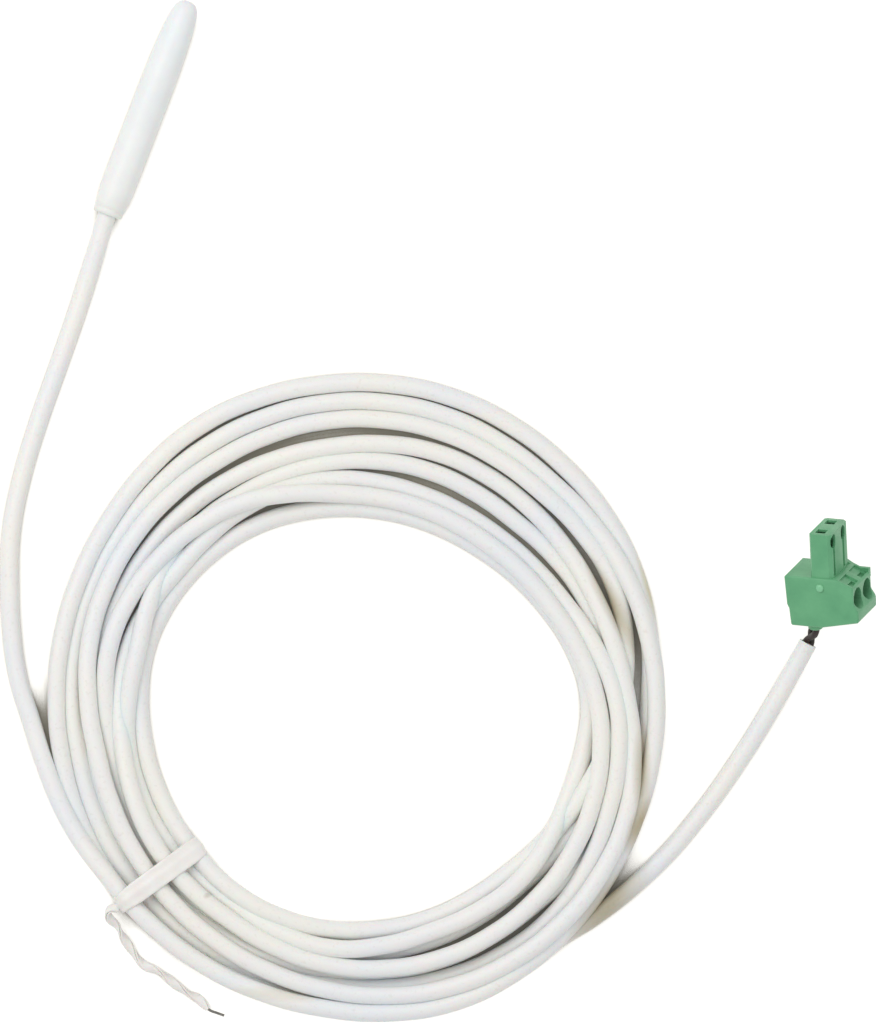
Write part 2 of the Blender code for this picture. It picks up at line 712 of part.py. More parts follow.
def hollow_pole(housing, number, material, plug):
    """Cuts one pole's wire entry, clamp cavity, screw well, contact chamber and window."""
    y = pole_y(number)
    half_cage = CAGE_WIDTH / 2 + CAGE_CLEARANCE
    cavity_z = (SCREW_Z - CAGE_LENGTH / 2 - SEAT_GAP, SCREW_Z + CAGE_LENGTH / 2 + SEAT_GAP)
    cavity_x = (CAGE_FLOOR_X - CAGE_FLOOR - CAGE_TRAVEL - CAGE_CLEARANCE, CAVITY_TOP_X)
    chamber_x = (TOWER_BACK + TOWER_WALL, TOWER_FACE_X - TOWER_WALL)
    chamber_z = (BODY_LENGTH - SEAT_GAP, PLUG_LENGTH - TIP_FACE_WALL)
    at_pole = Matrix.Translation((0, y, 0))
    along_screw = Matrix.Translation((0, y, SCREW_Z)) @ Matrix.Rotation(pi / 2, 4, "Y")
    at_entry = Matrix.Translation((ENTRY_X, y, 0))
    entry = [
        (0, -ENTRY_COLLAR_REACH - SEAT_GAP),
        (ENTRY_MOUTH_RADIUS, -ENTRY_COLLAR_REACH - SEAT_GAP),
        (ENTRY_MOUTH_RADIUS, -ENTRY_COLLAR_REACH),
        (ENTRY_THROAT_RADIUS, 0),
        (ENTRY_THROAT_RADIUS, cavity_z[0] + SEAT_GAP),
        (0, cavity_z[0] + SEAT_GAP),
    ]
    half_pin = PIN_OPENING / 2
    pin_x = (PIN_X - half_pin, PIN_X + half_pin)
    tip_z = (chamber_z[1] - MM, PLUG_LENGTH + MM)
    half_chamber = CHAMBER_WIDTH / 2
    slot_x = (TONGUE_X - SEAT_GAP, TONGUE_X + TONGUE_THICKNESS + SEAT_GAP)
    half_slot = CONTACT_THICKNESS / 2 + SEAT_GAP
    slot_top = BODY_LENGTH + CONTACT_BASE / 2 + SEAT_GAP
    window_z = PLUG_LENGTH - WINDOW_FROM_TIP
    window = oval((WINDOW_SHIFT, window_z), WINDOW_WIDTH, WINDOW_LENGTH)
    groove = (BODY_LENGTH + MOULD_EDGE, window_z)
    half_groove = WINDOW_GROOVE_WIDTH / 2
    shoulder_z = (SHOULDER_START + BODY_LENGTH) / 2
    at_shoulder = Matrix.Translation((SCREW_FACE_X - SHOULDER_RUN / 2, y, shoulder_z))
    at_shoulder = at_shoulder @ Matrix.Rotation(SHOULDER_SLOPE, 4, "Y")
    half_recess = RECESS_WIDTH / 2
    half_slit = TEST_SLOT_WIDTH / 2
    tools = {
        "entry": (turned(entry, 20, closed=False), at_entry),
        "cage_cavity": (block(cavity_x, (-half_cage, half_cage), cavity_z), at_pole),
        "screw_neck": (rod(SCREW_RADIUS + SEAT_GAP, CAGE_TOP_X, SCREW_HEAD_X, 20), along_screw),
        "screw_well": (rod(SCREW_WELL_RADIUS, LEDGE_X, PLUG_HEIGHT + MM, 24), along_screw),
        "tongue_slot": (block(slot_x, (-half_slot, half_slot), (SCREW_Z, slot_top)), at_pole),
        "chamber": (block(chamber_x, (-half_chamber, half_chamber), chamber_z), at_pole),
        "pin_opening": (block(pin_x, (-half_pin, half_pin), tip_z), at_pole),
        "window": (slab(window, "YZ", PIN_X, TOWER_FACE_X + MM), at_pole),
        "window_groove": (
            block(
                (TOWER_FACE_X - WINDOW_GROOVE_DEPTH, TOWER_FACE_X + MM),
                (WINDOW_SHIFT - half_groove, WINDOW_SHIFT + half_groove),
                groove,
            ),
            at_pole,
        ),
        "shoulder_recess": (
            block(SHOULDER_RECESS, (-half_recess, half_recess), (-RECESS_DEPTH, MM)),
            at_shoulder,
        ),
        "test_slot": (
            block(TEST_SLOT, (-half_slit, half_slit), (-TEST_SLOT_DEPTH, MM)),
            at_shoulder,
        ),
    }
    for name, (shape, place) in tools.items():
        combine(housing, piece(f"{name}_{number}", shape, material, plug, place))


def make_housing(finishes, plug):
    """The plug's moulded housing: body, contact tower, wire collars and the two poles' hollows."""
    green = finishes["housing"]
    housing = piece("plug_housing", slab(housing_outline(), "XZ", 0, PLUG_WIDTH), green, plug)
    edge = housing.modifiers.new("mould_edges", "BEVEL")
    edge.width = MOULD_EDGE
    edge.segments = 1
    edge.limit_method = "ANGLE"
    edge.angle_limit = radians(30)
    tower = piece("contact_tower", slab(tower_outline(), "XY", BODY_LENGTH - MM, PLUG_LENGTH), green, plug)
    combine(housing, tower, "UNION")
    rib = slab(end_rib_outline(), "XZ", PLUG_WIDTH - END_RIB_WIDTH, PLUG_WIDTH)
    combine(housing, piece("end_rib", rib, green, plug), "UNION")
    for number in POLES:
        collar = rod(ENTRY_COLLAR_RADIUS, -ENTRY_COLLAR_REACH, MM, 20, MOULD_EDGE)
        place = Matrix.Translation((ENTRY_X, pole_y(number), 0))
        combine(housing, piece(f"entry_collar_{number}", collar, green, plug, place), "UNION")
    across = Matrix.Rotation(-pi / 2, 4, "X")
    pip = Matrix.Translation((PIP_X, 0, PIP_Z)) @ across
    recess = Matrix.Translation((PIP_X, PLUG_WIDTH, PIP_Z)) @ across
    pin = rod(PIP_RADIUS, -PIP_HEIGHT, PIP_HEIGHT, 12)
    combine(housing, piece("side_pip", pin, green, plug, pip), "UNION")
    hole = rod(PIP_RADIUS + FINE_GAP, -PIP_HEIGHT - FINE_GAP, MM, 12)
    combine(housing, piece("side_recess", hole, green, plug, recess))
    for number in POLES:
        hollow_pole(housing, number, green, plug)


def make_clamp(finishes, plug, number):
    """One pole's rising cage and its screw, each on the screw's axis."""
    axis = Matrix.Translation((0, pole_y(number), SCREW_Z))
    half_width = CAGE_WIDTH / 2
    half_bore = half_width - CAGE_SIDE_WALL
    outer_x = (CAGE_FLOOR_X - CAGE_FLOOR, CAGE_TOP_X + CAGE_TOP)
    frame = block(outer_x, (-half_width, half_width), (-CAGE_LENGTH / 2, CAGE_LENGTH / 2))
    cage = piece(f"clamp_cage_{number}", frame, finishes["steel"], plug, axis)
    inner_x = (CAGE_FLOOR_X, CAGE_TOP_X)
    window = block(inner_x, (-half_bore, half_bore), (-CAGE_LENGTH, CAGE_LENGTH))
    combine(cage, piece(f"cage_window_{number}", window, finishes["steel"], plug, axis))
    turn = axis @ Matrix.Rotation(pi / 2, 4, "Y")
    hole = rod(SCREW_RADIUS + FINE_GAP, CAGE_TOP_X - MM / 2, CAGE_TOP_X + CAGE_TOP + MM / 2, 24)
    combine(cage, piece(f"cage_thread_{number}", hole, finishes["steel"], plug, turn))
    head_top = SCREW_HEAD_X + SCREW_HEAD_LENGTH
    outline = (
        (0, SCREW_POINT_X),
        (SCREW_RADIUS - SCREW_POINT, SCREW_POINT_X),
        (SCREW_RADIUS, SCREW_POINT_X + SCREW_POINT),
        (SCREW_RADIUS, SCREW_HEAD_X),
        (SCREW_HEAD_RADIUS, SCREW_HEAD_X),
        (SCREW_HEAD_RADIUS, head_top - FINE_GAP),
        (SCREW_HEAD_RADIUS - FINE_GAP, head_top),
        (0, head_top),
    )
    shape = turned(outline, 24, closed=False)
    screw = piece(f"clamp_screw_{number}", shape, finishes["steel"], plug, turn)
    half_slot = SCREW_SLOT_WIDTH / 2
    slot = block(
        (-half_slot, half_slot),
        (-2 * SCREW_HEAD_RADIUS, 2 * SCREW_HEAD_RADIUS),
        (head_top - SCREW_SLOT_DEPTH, head_top + MM),
    )
    combine(screw, piece(f"screw_slot_{number}", slot, finishes["steel"], plug, turn))


def make_contact(finishes, plug, number):
    """One pole's fork contact: a tongue in the clamp, a base and two arms that pinch the pin."""
    base_z = BODY_LENGTH
    arms_z = base_z + CONTACT_BASE
    tongue_top = base_z + CONTACT_BASE / 2
    tip_z = PLUG_LENGTH - TIP_FACE_WALL - SEAT_GAP
    nip_z = tip_z - 2 * CONTACT_BASE
    arm_outer = TOWER_THICKNESS / 2 - TOWER_WALL - SEAT_GAP - PIN_SET_BACK
    arm = (
        (arm_outer, arms_z),
        (ARM_NIP / 2 + ARM_THICKNESS, nip_z),
        (ARM_NIP / 2 + ARM_THICKNESS + ARM_FLARE, tip_z),
        (ARM_NIP / 2 + ARM_FLARE, tip_z),
        (ARM_NIP / 2, nip_z),
        (arm_outer - ARM_THICKNESS, arms_z),
    )
    right = [(PIN_X + x, z) for x, z in arm]
    left = [(PIN_X - x, z) for x, z in reversed(arm)]
    tongue_z = SCREW_Z - CAGE_LENGTH / 2 + SEAT_GAP
    outline = [
        (TONGUE_X, tongue_z),
        (TONGUE_X + TONGUE_THICKNESS, tongue_z),
        (TONGUE_X + TONGUE_THICKNESS, base_z),
        (PIN_X + arm_outer, base_z),
        *right,
        *left,
        (PIN_X - arm_outer, tongue_top),
        (TONGUE_X, tongue_top),
    ]
    half = CONTACT_THICKNESS / 2
    place = Matrix.Translation((0, pole_y(number), 0))
    fork = slab(outline, "XZ", -half, half)
    piece(f"contact_fork_{number}", fork, finishes["contact"], plug, place)


def make_wires(finishes, table, plug, lean, number):
    """One core from the lead's end into its wire entry, and its bare end in the clamp."""
    y = pole_y(number)
    end = Vector(ROUTE_TO_PLUG[-1])
    heading = (end - Vector(ROUTE_TO_PLUG[-2])).normalized()
    across = heading.cross(Vector((0, 0, 1))).normalized()
    side = 1 if number == POLES[-1] else -1
    start = end + heading * SEAT_GAP + across * side * (PLUG_CORE_RADIUS + FINE_GAP / 2)
    entry_z = -ENTRY_COLLAR_REACH - PLUG_CORE_RADIUS
    bends = [Vector(FAR_CORE_BEND)] if number == POLES[-1] else []
    route = [
        start,
        start + heading * PLUG_CORE_RADIUS,
        *bends,
        lean @ Vector((ENTRY_X, y, entry_z)),
        lean @ Vector((ENTRY_X, y, 0)),
        lean @ Vector((ENTRY_X, y, PLUG_CORE_DEPTH)),
    ]
    route = smooth_route(route, MM)
    wire(f"plug_core_{number}", route, PLUG_CORE_RADIUS, finishes["core"], table)
    low = PLUG_CORE_DEPTH + SEAT_GAP
    high = SCREW_Z + CAGE_LENGTH / 2 - SEAT_GAP
    strands = rod(CONDUCTOR_RADIUS, low, high, 12)
    place = Matrix.Translation((ENTRY_X, y, 0))
    piece(f"bare_end_{number}", strands, finishes["copper"], plug, place)


def make_plug(finishes, table):
    """The pluggable screw connector on its lowest corner."""
    turn = PLUG_LEAN.to_matrix()
    lowest = turn @ Vector((FOOT_INSET, PLUG_WIDTH, 0))
    lean = Matrix.Translation((*PLUG_ORIGIN, -lowest.z)) @ turn.to_4x4()
    plug = guide("plug_seat", table, lean)
    make_housing(finishes, plug)
    for number in POLES:
        make_clamp(finishes, plug, number)
        make_contact(finishes, plug, number)
        make_wires(finishes, table, plug, lean, number)


def make_finishes():
    """Every surface finish on the probe."""
    return {
        "capsule": finish("capsule_moulding", (0.85, 0.86, 0.85), 0.45),
        "bead": finish("bead_resin", (0.05, 0.05, 0.05), 0.35),
        "tinned": finish("tinned_copper", (0.72, 0.70, 0.66), 0.35, 1.0),
        "sleeve": finish("shrink_sleeve", (0.03, 0.03, 0.03), 0.5),
        "core": finish("black_insulation", (0.04, 0.035, 0.03), 0.45),
        "lead": finish("lead_jacket", (0.84, 0.84, 0.82), 0.42),
        "tie": finish("tie_coating", (0.86, 0.83, 0.79), 0.4),
        "tie_steel": finish("tie_steel", (0.25, 0.24, 0.22), 0.4, 1.0),
        "steel": finish("plated_steel", (0.62, 0.63, 0.62), 0.35, 1.0),
        "contact": finish("tinned_bronze", (0.70, 0.67, 0.60), 0.3, 1.0),
        "copper": finish("bare_copper", (0.72, 0.42, 0.28), 0.35, 1.0),
        "housing": finish("green_polyamide", (0.13, 0.39, 0.20), 0.42),
    }


def main():
    """Builds the whole probe."""
    clear_scene()
    finishes = make_finishes()
    lead_end = Matrix.Translation((0, -CAPSULE_LENGTH / 2, CAPSULE_RADIUS))
    lie_down = Matrix.Rotation(-pi / 2, 4, "X")
    axis = guide("probe_axis", None, lead_end @ lie_down)
    table = guide("table_turn", None, Matrix.Rotation(TABLE_TURN, 4, "Z"))
    make_capsule(finishes, axis)
    make_thermistor(finishes, axis)
    make_splices(finishes, axis)
    coil = make_lead(finishes, table)
    make_tie(finishes, table, coil)
    make_plug(finishes, table)


main()
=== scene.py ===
from math import cos, exp, pi, radians, sin, sqrt

import bmesh
import bpy
from mathutils import Euler, Matrix, Vector
from mathutils.geometry import interpolate_bezier


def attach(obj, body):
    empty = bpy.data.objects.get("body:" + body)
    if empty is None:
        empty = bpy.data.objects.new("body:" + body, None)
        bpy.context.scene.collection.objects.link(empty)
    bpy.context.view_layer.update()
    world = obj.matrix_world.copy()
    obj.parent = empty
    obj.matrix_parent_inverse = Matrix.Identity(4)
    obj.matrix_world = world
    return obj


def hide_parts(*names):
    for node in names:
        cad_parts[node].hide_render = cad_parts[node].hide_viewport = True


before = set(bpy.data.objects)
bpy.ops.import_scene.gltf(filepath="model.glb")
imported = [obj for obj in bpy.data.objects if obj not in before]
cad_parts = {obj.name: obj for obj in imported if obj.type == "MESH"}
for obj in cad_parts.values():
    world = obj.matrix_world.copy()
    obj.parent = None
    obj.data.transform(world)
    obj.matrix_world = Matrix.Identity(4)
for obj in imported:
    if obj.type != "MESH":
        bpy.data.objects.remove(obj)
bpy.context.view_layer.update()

MM = 0.001
BODY = "probe_and_lead"

# The table is turned under the capsule, which lies along +Y
TABLE_TURN = radians(20.97)
TABLE = Matrix.Rotation(TABLE_TURN, 4, "Z")
VIEW_MIDDLE = (55.72 * MM, -77.6 * MM)
VIEW_HEIGHT = 196.9 * MM
CAMERA_HEIGHT = 4.0
CAMERA_REACH = 20.0
SENSOR = 36.0

# Floor: a white sheet, lit as paper for bounced light; for the camera and in reflections it
# glows white, with painted shade close to what lies on it, where ambient occlusion dims the glow
FLOOR_SIZE = 3.0
FLOOR_LEVEL = -0.02 * MM
FLOOR_PAPER = (0.82, 0.82, 0.82, 1)
FLOOR_SHOWN = (0.28, 0.26, 0.20, 1)
# Painted shade: the ambient occlusion's reach, the openness over which the glow dims, and the glow
# from deep gaps to open floor
SHADOW_REACH = 4 * MM
SHADOW_OPENNESS = (0.42, 0.60)
SHADOW_GLOW = (0.03, 0.90)

# Light: the surround's strength as light and as backdrop, and the lamps
# as name, place on the table in metres, size and power
SURROUND = 0.86
BACKDROP = 1.25
LAMPS = (
    ("key", (-0.35, 0.25, 0.75), 0.7, 3.0),
    ("fill", (0.55, -0.35, 0.9), 0.8, 0.8),
)

# Lead: its two free stretches, table coordinates in metres
LEAD_RADIUS = 1.75 * MM
NECK_EXIT = (0.0, -22.0 * MM, 3.25 * MM)
NECK_SEAT = (0.0, -14.0 * MM, 3.25 * MM)
NECK_LEAD = (0.0, -18.0 * MM, 3.25 * MM)
ROUTE_TO_COIL = (
    (-0.0090, -0.0243, 0.0029),
    (-0.0109, -0.0305, 0.0023),
    (-0.0139, -0.0399, 0.0018),
    (-0.0175, -0.0502, 0.00175),
    (-0.0212, -0.0607, 0.00175),
    (-0.0243, -0.0711, 0.00175),
    (-0.0263, -0.0815, 0.00175),
    (-0.0266, -0.0916, 0.00175),
    (-0.0262, -0.1007, 0.00175),
    (-0.0249, -0.1097, 0.00175),
    (-0.0224, -0.1178, 0.0020),
)
ROUTE_TO_PLUG = (
    (0.0850, -0.1559, 0.00175),
    (0.0975, -0.1456, 0.00175),
    (0.1053, -0.1368, 0.00175),
    (0.1132, -0.1259, 0.0018),
    (0.1198, -0.1153, 0.0021),
    (0.1244, -0.1072, 0.0028),
    (0.1268, -0.1028, 0.0033),
)

# Coil: each turn's distance from the middle in mm, every 24 degrees from COIL_START,
# and the order in which strands lie on each other there, lowest first
COIL_CENTRE = Vector((39.76 * MM, -113.17 * MM, 0))
COIL_START = radians(192)
STATIONS = 15
TURNS = (
    (61.0, 58.6, 59.0, 60.0, 61.6, 60.4, 58.7, 57.9, 57.1, 56.0, 56.8, 56.8, 56.0, 55.0, 54.8),
    (54.2, 55.2, 55.7, 55.7, 56.7, 56.7, 53.4, 50.1, 44.2, 41.4, 41.0, 42.0, 42.1, 42.0, 44.6),
    (45.6, 47.7, 49.0, 51.6, 52.8, 52.1, 50.0, 46.4, 41.7, 39.1, 38.5, 39.3, 43.1, 46.0, 48.1),
    (47.8, 48.8, 49.3, 49.3, 48.9, 48.1, 49.6, 48.9, 48.0, 45.7, 45.7, 45.4, 44.6, 44.4, 42.7),
    (44.6, 45.6, 46.1, 48.4, 47.4, 47.3, 45.1, 45.0, 40.9, 37.5, 36.3, 36.6, 38.1, 39.7, 41.2),
    (41.5, 42.4, 44.1, 44.9, 45.0, 45.0, 47.4, 51.3, 54.2, 53.3, 53.6, 53.4, 52.6, 52.5, 52.0),
    (50.7, 51.8, 53.8, 56.4, 58.6, 58.8, 56.9, 52.2, 49.8, 49.5, 49.5, 48.3, 48.2, 48.7, 49.4),
    (51.0, 52.0, 52.5, 52.5, 53.1, 52.7, 55.2, 56.6, 58.8, 59.8, 60.5, 60.3, 60.0, 58.1, 57.4),
    (57.5, 58.4, 58.9, 58.9, 60.0, 61.0),
)
LAYERS = (
    "111111011000000",
    "000000121111111",
    "111111111122221",
    "000000000000001",
    "000111000000000",
    "001000000111111",
    "111111111000000",
    "000000000000000",
    "000000",
)
PRESS = 0.90
TOP_STRAND = 6.2 * MM
HEIGHT_EASE = 2

# Spots on the jacket: painted shade where the lead runs out from under the coil and along
# the dark gap at the coil's right, a warm tint on the outer turn at the bottom, and one real dirt
# speck. Each has its middle and reach in table millimetres, turn in degrees, colour,
# and the share of the reach over which each fades in from its rim
SHADE_AND_DIRT_EDGE = 0.7
PAINTED_SHADE_AND_DIRT_SPOTS = (
    # Painted shade: the brown tint where the lead leaves from under the coil, then the tan strip
    # along the dark gap at the coil's right
    ((88.0, -153.2, 2.0), (13.0, 5.0, 6.0), 46, (0.58, 0.52, 0.38)),
    ((94.2, -137.8, 2.0), (6.5, 2.4, 8.0), 66, (0.62, 0.55, 0.40)),
    ((96.9, -93.9, 2.0), (10.0, 1.1, 8.0), 109, (0.80, 0.76, 0.58)),
    ((94.7, -127.2, 2.0), (11.0, 2.4, 8.0), 90, (0.66, 0.60, 0.46)),
    ((89.5, -96.0, 2.0), (13.0, 2.6, 8.0), 118, (0.66, 0.61, 0.48)),
    # A warm tint on the outer turn at the bottom
    ((24.4, -170.3, 2.0), (12.0, 2.0, 6.0), -9, (0.76, 0.71, 0.54)),
    # A real dirt speck
    ((11.3, -151.3, 4.0), (1.1, 0.8, 4.0), 20, (0.66, 0.64, 0.58)),
)

# Twist tie: its band runs along a line across the coil, in table coordinates
TIE_CENTRE = Vector((1.3 * MM, -148.1 * MM, 0))
TIE_TURN = radians(36.1)
TIE_REACH = 12.5 * MM
TIE_BEARING = radians(222)
TIE_LIFT = 0.30 * MM
TIE_LIFT_SPAN = radians(14)
BAND_THICKNESS = 0.36 * MM
BAND_SLACK = 0.06 * MM
BAND_RIDGE = 0.22 * MM
BAND_RIDGE_SPAN = 0.55 * MM
BAND_WIDTHS = ((-12.5, 2.9), (-8.5, 3.5), (-4.0, 4.2), (9.0, 4.3), (12.5, 3.9))
BAND_STEPS = 180
BAND_EASE = 4
STRAND_SIDES = 24
TAIL_WIDTH = 1.7 * MM
TAIL_THICKNESS = 0.95 * MM
TAIL_TURNS = 2.6
TAIL_STEPS = 150

# Each strip of the tail, as shares of the tail's thickness, and how its width swells
STRIP_OFFSET = 0.24
STRIP_THICKNESS = 0.56
SWELL_LEAST = 0.75
SWELL_RANGE = 0.5
SWELL_SCALE = 14.0
TAIL_ROUTE = (
    (-0.0057, -0.1536, 0.0042),
    (-0.0076, -0.1541, 0.0044),
    (-0.0074, -0.1556, 0.0034),
    (-0.0061, -0.1570, 0.0022),
    (-0.0048, -0.1593, 0.0014),
    (-0.0033, -0.1616, 0.0010),
    (-0.0016, -0.1639, 0.0010),
    (-0.0003, -0.1650, 0.0011),
    (0.0011, -0.1655, 0.0011),
    (0.0032, -0.1667, 0.0010),
    (0.0052, -0.1684, 0.0010),
    (0.0067, -0.1695, 0.0011),
    (0.0080, -0.1703, 0.0012),
    (0.0096, -0.1711, 0.0012),
    (0.0107, -0.1722, 0.0011),
    (0.0115, -0.1731, 0.0010),
)
TIE_WIRE_RADIUS = 0.25 * MM
TIE_WIRE_ROUTE = (
    (0.0112, -0.1728, 0.0010),
    (0.0119, -0.1734, 0.0008),
    (0.0132, -0.1739, 0.0006),
    (0.0146, -0.1744, 0.0005),
)

# Capsule: (distance from its lead end, radius) in mm, from the mouth to the tip
CAPSULE_START = -22.0 * MM
CAPSULE_HEIGHT = 3.25 * MM
CAPSULE_BORE = 2.05 * MM
CAPSULE_BORE_END = 39.0 * MM
CAPSULE_SEAT_END = 10.2 * MM
CAPSULE_SIDES = 128
CAPSULE_LINE = (
    (0.0, 1.80), (0.0, 2.45), (0.05, 2.66), (0.2, 2.80), (0.5, 2.88), (0.85, 2.91),
    (1.05, 2.83), (1.2, 2.83), (1.4, 2.96), (2.2, 3.06), (3.6, 3.16), (5.5, 3.23),
    (9.0, 3.25), (16.0, 3.25), (26.4, 3.25), (29.5, 3.22), (32.5, 3.13), (35.5, 3.00),
    (38.0, 2.86), (40.0, 2.70), (41.5, 2.52), (42.6, 2.22), (43.3, 1.80), (43.75, 1.25),
    (43.95, 0.65), (44.0, 0.0),
)
FLASH_HEIGHT = 0.035 * MM
FLASH_FROM = 2.5 * MM

# Plug: its place on the table, and its poles' parts in its own coordinates
PLUG_ORIGIN = (122.5 * MM, -99.25 * MM)
PLUG_LEAN = Euler((radians(-67.9), radians(-20.9), radians(-5.2)))
FOOT_INSET = 1.0 * MM
POLE_PITCH = 5.08 * MM
POLES = (1, 2)
ENTRY_X = 5.1 * MM
COLLAR_REACH = 1.2 * MM
CORE_DEPTH = 1.5 * MM
PIP_X = 7.3 * MM
PIP_Z = 8.2 * MM
PIP_RADIUS = 0.80 * MM
PIP_HEIGHT = 0.42 * MM
PIP_SIDES = 32
PIP_STEPS = 8
PIP_FULLNESS = 0.6
CORE_RADIUS = 0.66 * MM
CORE_SPREAD = 0.56 * MM
CORE_DROP = 0.30 * MM
CORE_SEAT = 1.6 * MM
FAR_CORE_BEND = (127.9 * MM, -99.6 * MM, 1.6 * MM)
SCREW_Z = 5.9 * MM
WELL_X = 11.5 * MM
# Painted shade deep in each screw well: its reach, the share of it over which it fades in, and its
# colour
WELL_REACH = (5.2 * MM, 2.45 * MM, 2.45 * MM)
WELL_EDGE = 0.25
WELL_PAINTED_SHADE = (0.10, 0.22, 0.14, 1)
SCREW_RADIUS = 1.25 * MM
THREAD_START = 6.85 * MM
THREAD_LENGTH = 2.9 * MM
THREAD_PITCH = 0.5 * MM
THREAD_DEPTH = 0.08 * MM
BARE_START = 1.8 * MM
BARE_LENGTH = 6.3 * MM
STRAND_RADIUS = 0.155 * MM
STRAND_TURNS = 0.8
STRANDS = 6
HOUSING_EDGE = 0.12 * MM
CAGE_EDGE = 0.10 * MM
FORK_EDGE = 0.06 * MM
EDGE_ANGLE = radians(28)

# Points nearer than this are one, on pieces made here and on those from the CAD
SAME_POINT = 0.0005 * MM
SAME_CAD_POINT = 0.001 * MM

# Materials of the CAD nodes that are kept
FINISHES = {
    "bead_resin": ("thermistor_bead",),
    "tinned_copper": ("thermistor_leg_1", "thermistor_leg_2", "splice_crimp_1", "splice_crimp_2"),
    "shrink_sleeve": ("splice_sleeve_1", "splice_sleeve_2"),
    "black_insulation": ("sensor_core_1", "sensor_core_2"),
}


def link(thing):
    """Puts an object in the scene."""
    bpy.context.scene.collection.objects.link(thing)
    return thing


def surface(name, roughness, metallic=0.0, **sockets):
    """A material with a Principled shader, and what its pattern is built from."""
    made = bpy.data.materials.new(name)
    made.use_nodes = True
    nodes = made.node_tree.nodes
    shader = nodes["Principled BSDF"]
    shader.inputs["Metallic"].default_value = metallic
    shader.inputs["Roughness"].default_value = roughness
    for socket, value in sockets.items():
        shader.inputs[socket.replace("_", " ")].default_value = value
    place = nodes.new("ShaderNodeTexCoord")
    return made, shader, place.outputs["Object"]


def noise(made, place, scale, detail=3.0, stretch=(1, 1, 1)):
    """A noise pattern on the piece, drawn out along an axis if wanted."""
    nodes = made.node_tree.nodes
    links = made.node_tree.links
    mapping = nodes.new("ShaderNodeMapping")
    mapping.inputs["Scale"].default_value = stretch
    links.new(place, mapping.inputs["Vector"])
    pattern = nodes.new("ShaderNodeTexNoise")
    pattern.inputs["Scale"].default_value = scale
    pattern.inputs["Detail"].default_value = detail
    links.new(mapping.outputs["Vector"], pattern.inputs["Vector"])
    return pattern.outputs["Fac"]


def ramp(made, source, *stops):
    """Colours along a pattern's value, as (value, colour) pairs."""
    nodes = made.node_tree.nodes
    band = nodes.new("ShaderNodeValToRGB")
    elements = band.color_ramp.elements
    for number, (value, color) in enumerate(stops):
        element = elements[number] if number < 2 else elements.new(value)
        element.position = value
        element.color = (*color, 1.0)
    made.node_tree.links.new(source, band.inputs["Fac"])
    return band.outputs["Color"]


def spread(made, source, low, high):
    """A pattern's value brought to the range from low to high."""
    fit = made.node_tree.nodes.new("ShaderNodeMapRange")
    fit.inputs["From Min"].default_value = 0.3
    fit.inputs["From Max"].default_value = 0.7
    fit.inputs["To Min"].default_value = low
    fit.inputs["To Max"].default_value = high
    made.node_tree.links.new(source, fit.inputs["Value"])
    return fit.outputs["Result"]


def tint(made, under, over, amount):
    """One colour pattern laid over another."""
    mix = made.node_tree.nodes.new("ShaderNodeMix")
    mix.data_type = "RGBA"
    mix.blend_type = "MULTIPLY"
    mix.inputs["Factor"].default_value = amount
    made.node_tree.links.new(under, mix.inputs["A"])
    made.node_tree.links.new(over, mix.inputs["B"])
    return mix.outputs["Result"]


def soft_spot(made, under, place, seat, reach, edge, color):
    """Another colour over a soft spot at a seat, full beyond the edge's share of its reach."""
    nodes = made.node_tree.nodes
    links = made.node_tree.links
    where = nodes.new("ShaderNodeMapping")
    where.vector_type = "TEXTURE"
    where.inputs["Location"].default_value = seat.to_translation()
    where.inputs["Rotation"].default_value = seat.to_euler()
    where.inputs["Scale"].default_value = reach
    links.new(place, where.inputs["Vector"])
    ball = nodes.new("ShaderNodeTexGradient")
    ball.gradient_type = "SPHERICAL"
    links.new(where.outputs["Vector"], ball.inputs["Vector"])
    fade = nodes.new("ShaderNodeMapRange")
    fade.inputs["From Max"].default_value = edge
    links.new(ball.outputs["Fac"], fade.inputs["Value"])
    mix = nodes.new("ShaderNodeMix")
    mix.data_type = "RGBA"
    mix.blend_type = "MULTIPLY"
    links.new(fade.outputs["Result"], mix.inputs["Factor"])
    links.new(under, mix.inputs["A"])
    mix.inputs["B"].default_value = color
    return mix.outputs["Result"]


def shade_and_dirt_spot(made, under, place, spot):
    """A soft spot on the jacket: painted shade for most spots, a real dirt speck for one."""
    middle, reach, turn, color = spot
    seat = TABLE @ Matrix.Translation(Vector(middle) * MM) @ Matrix.Rotation(radians(turn), 4, "Z")
    return soft_spot(made, under, place, seat, Vector(reach) * MM, SHADE_AND_DIRT_EDGE, (*color, 1))


def well_shade(made, under, place, number):
    """Painted shade deep in a screw well, where little light reaches."""
    seat = plug_seat() @ Matrix.Translation((WELL_X, pole_y(number), SCREW_Z))
    return soft_spot(made, under, place, seat, WELL_REACH, WELL_EDGE, WELL_PAINTED_SHADE)


def relief(made, shader, height, depth, strength):
    """Raises the surface by a pattern, depth in metres."""
    bump = made.node_tree.nodes.new("ShaderNodeBump")
    bump.inputs["Strength"].default_value = strength
    bump.inputs["Distance"].default_value = depth
    made.node_tree.links.new(height, bump.inputs["Height"])
    made.node_tree.links.new(bump.outputs["Normal"], shader.inputs["Normal"])


def paint(made, shader, color, roughness):
    """Joins the colour and roughness patterns to the shader."""
    made.node_tree.links.new(color, shader.inputs["Base Color"])
    made.node_tree.links.new(roughness, shader.inputs["Roughness"])
    return made


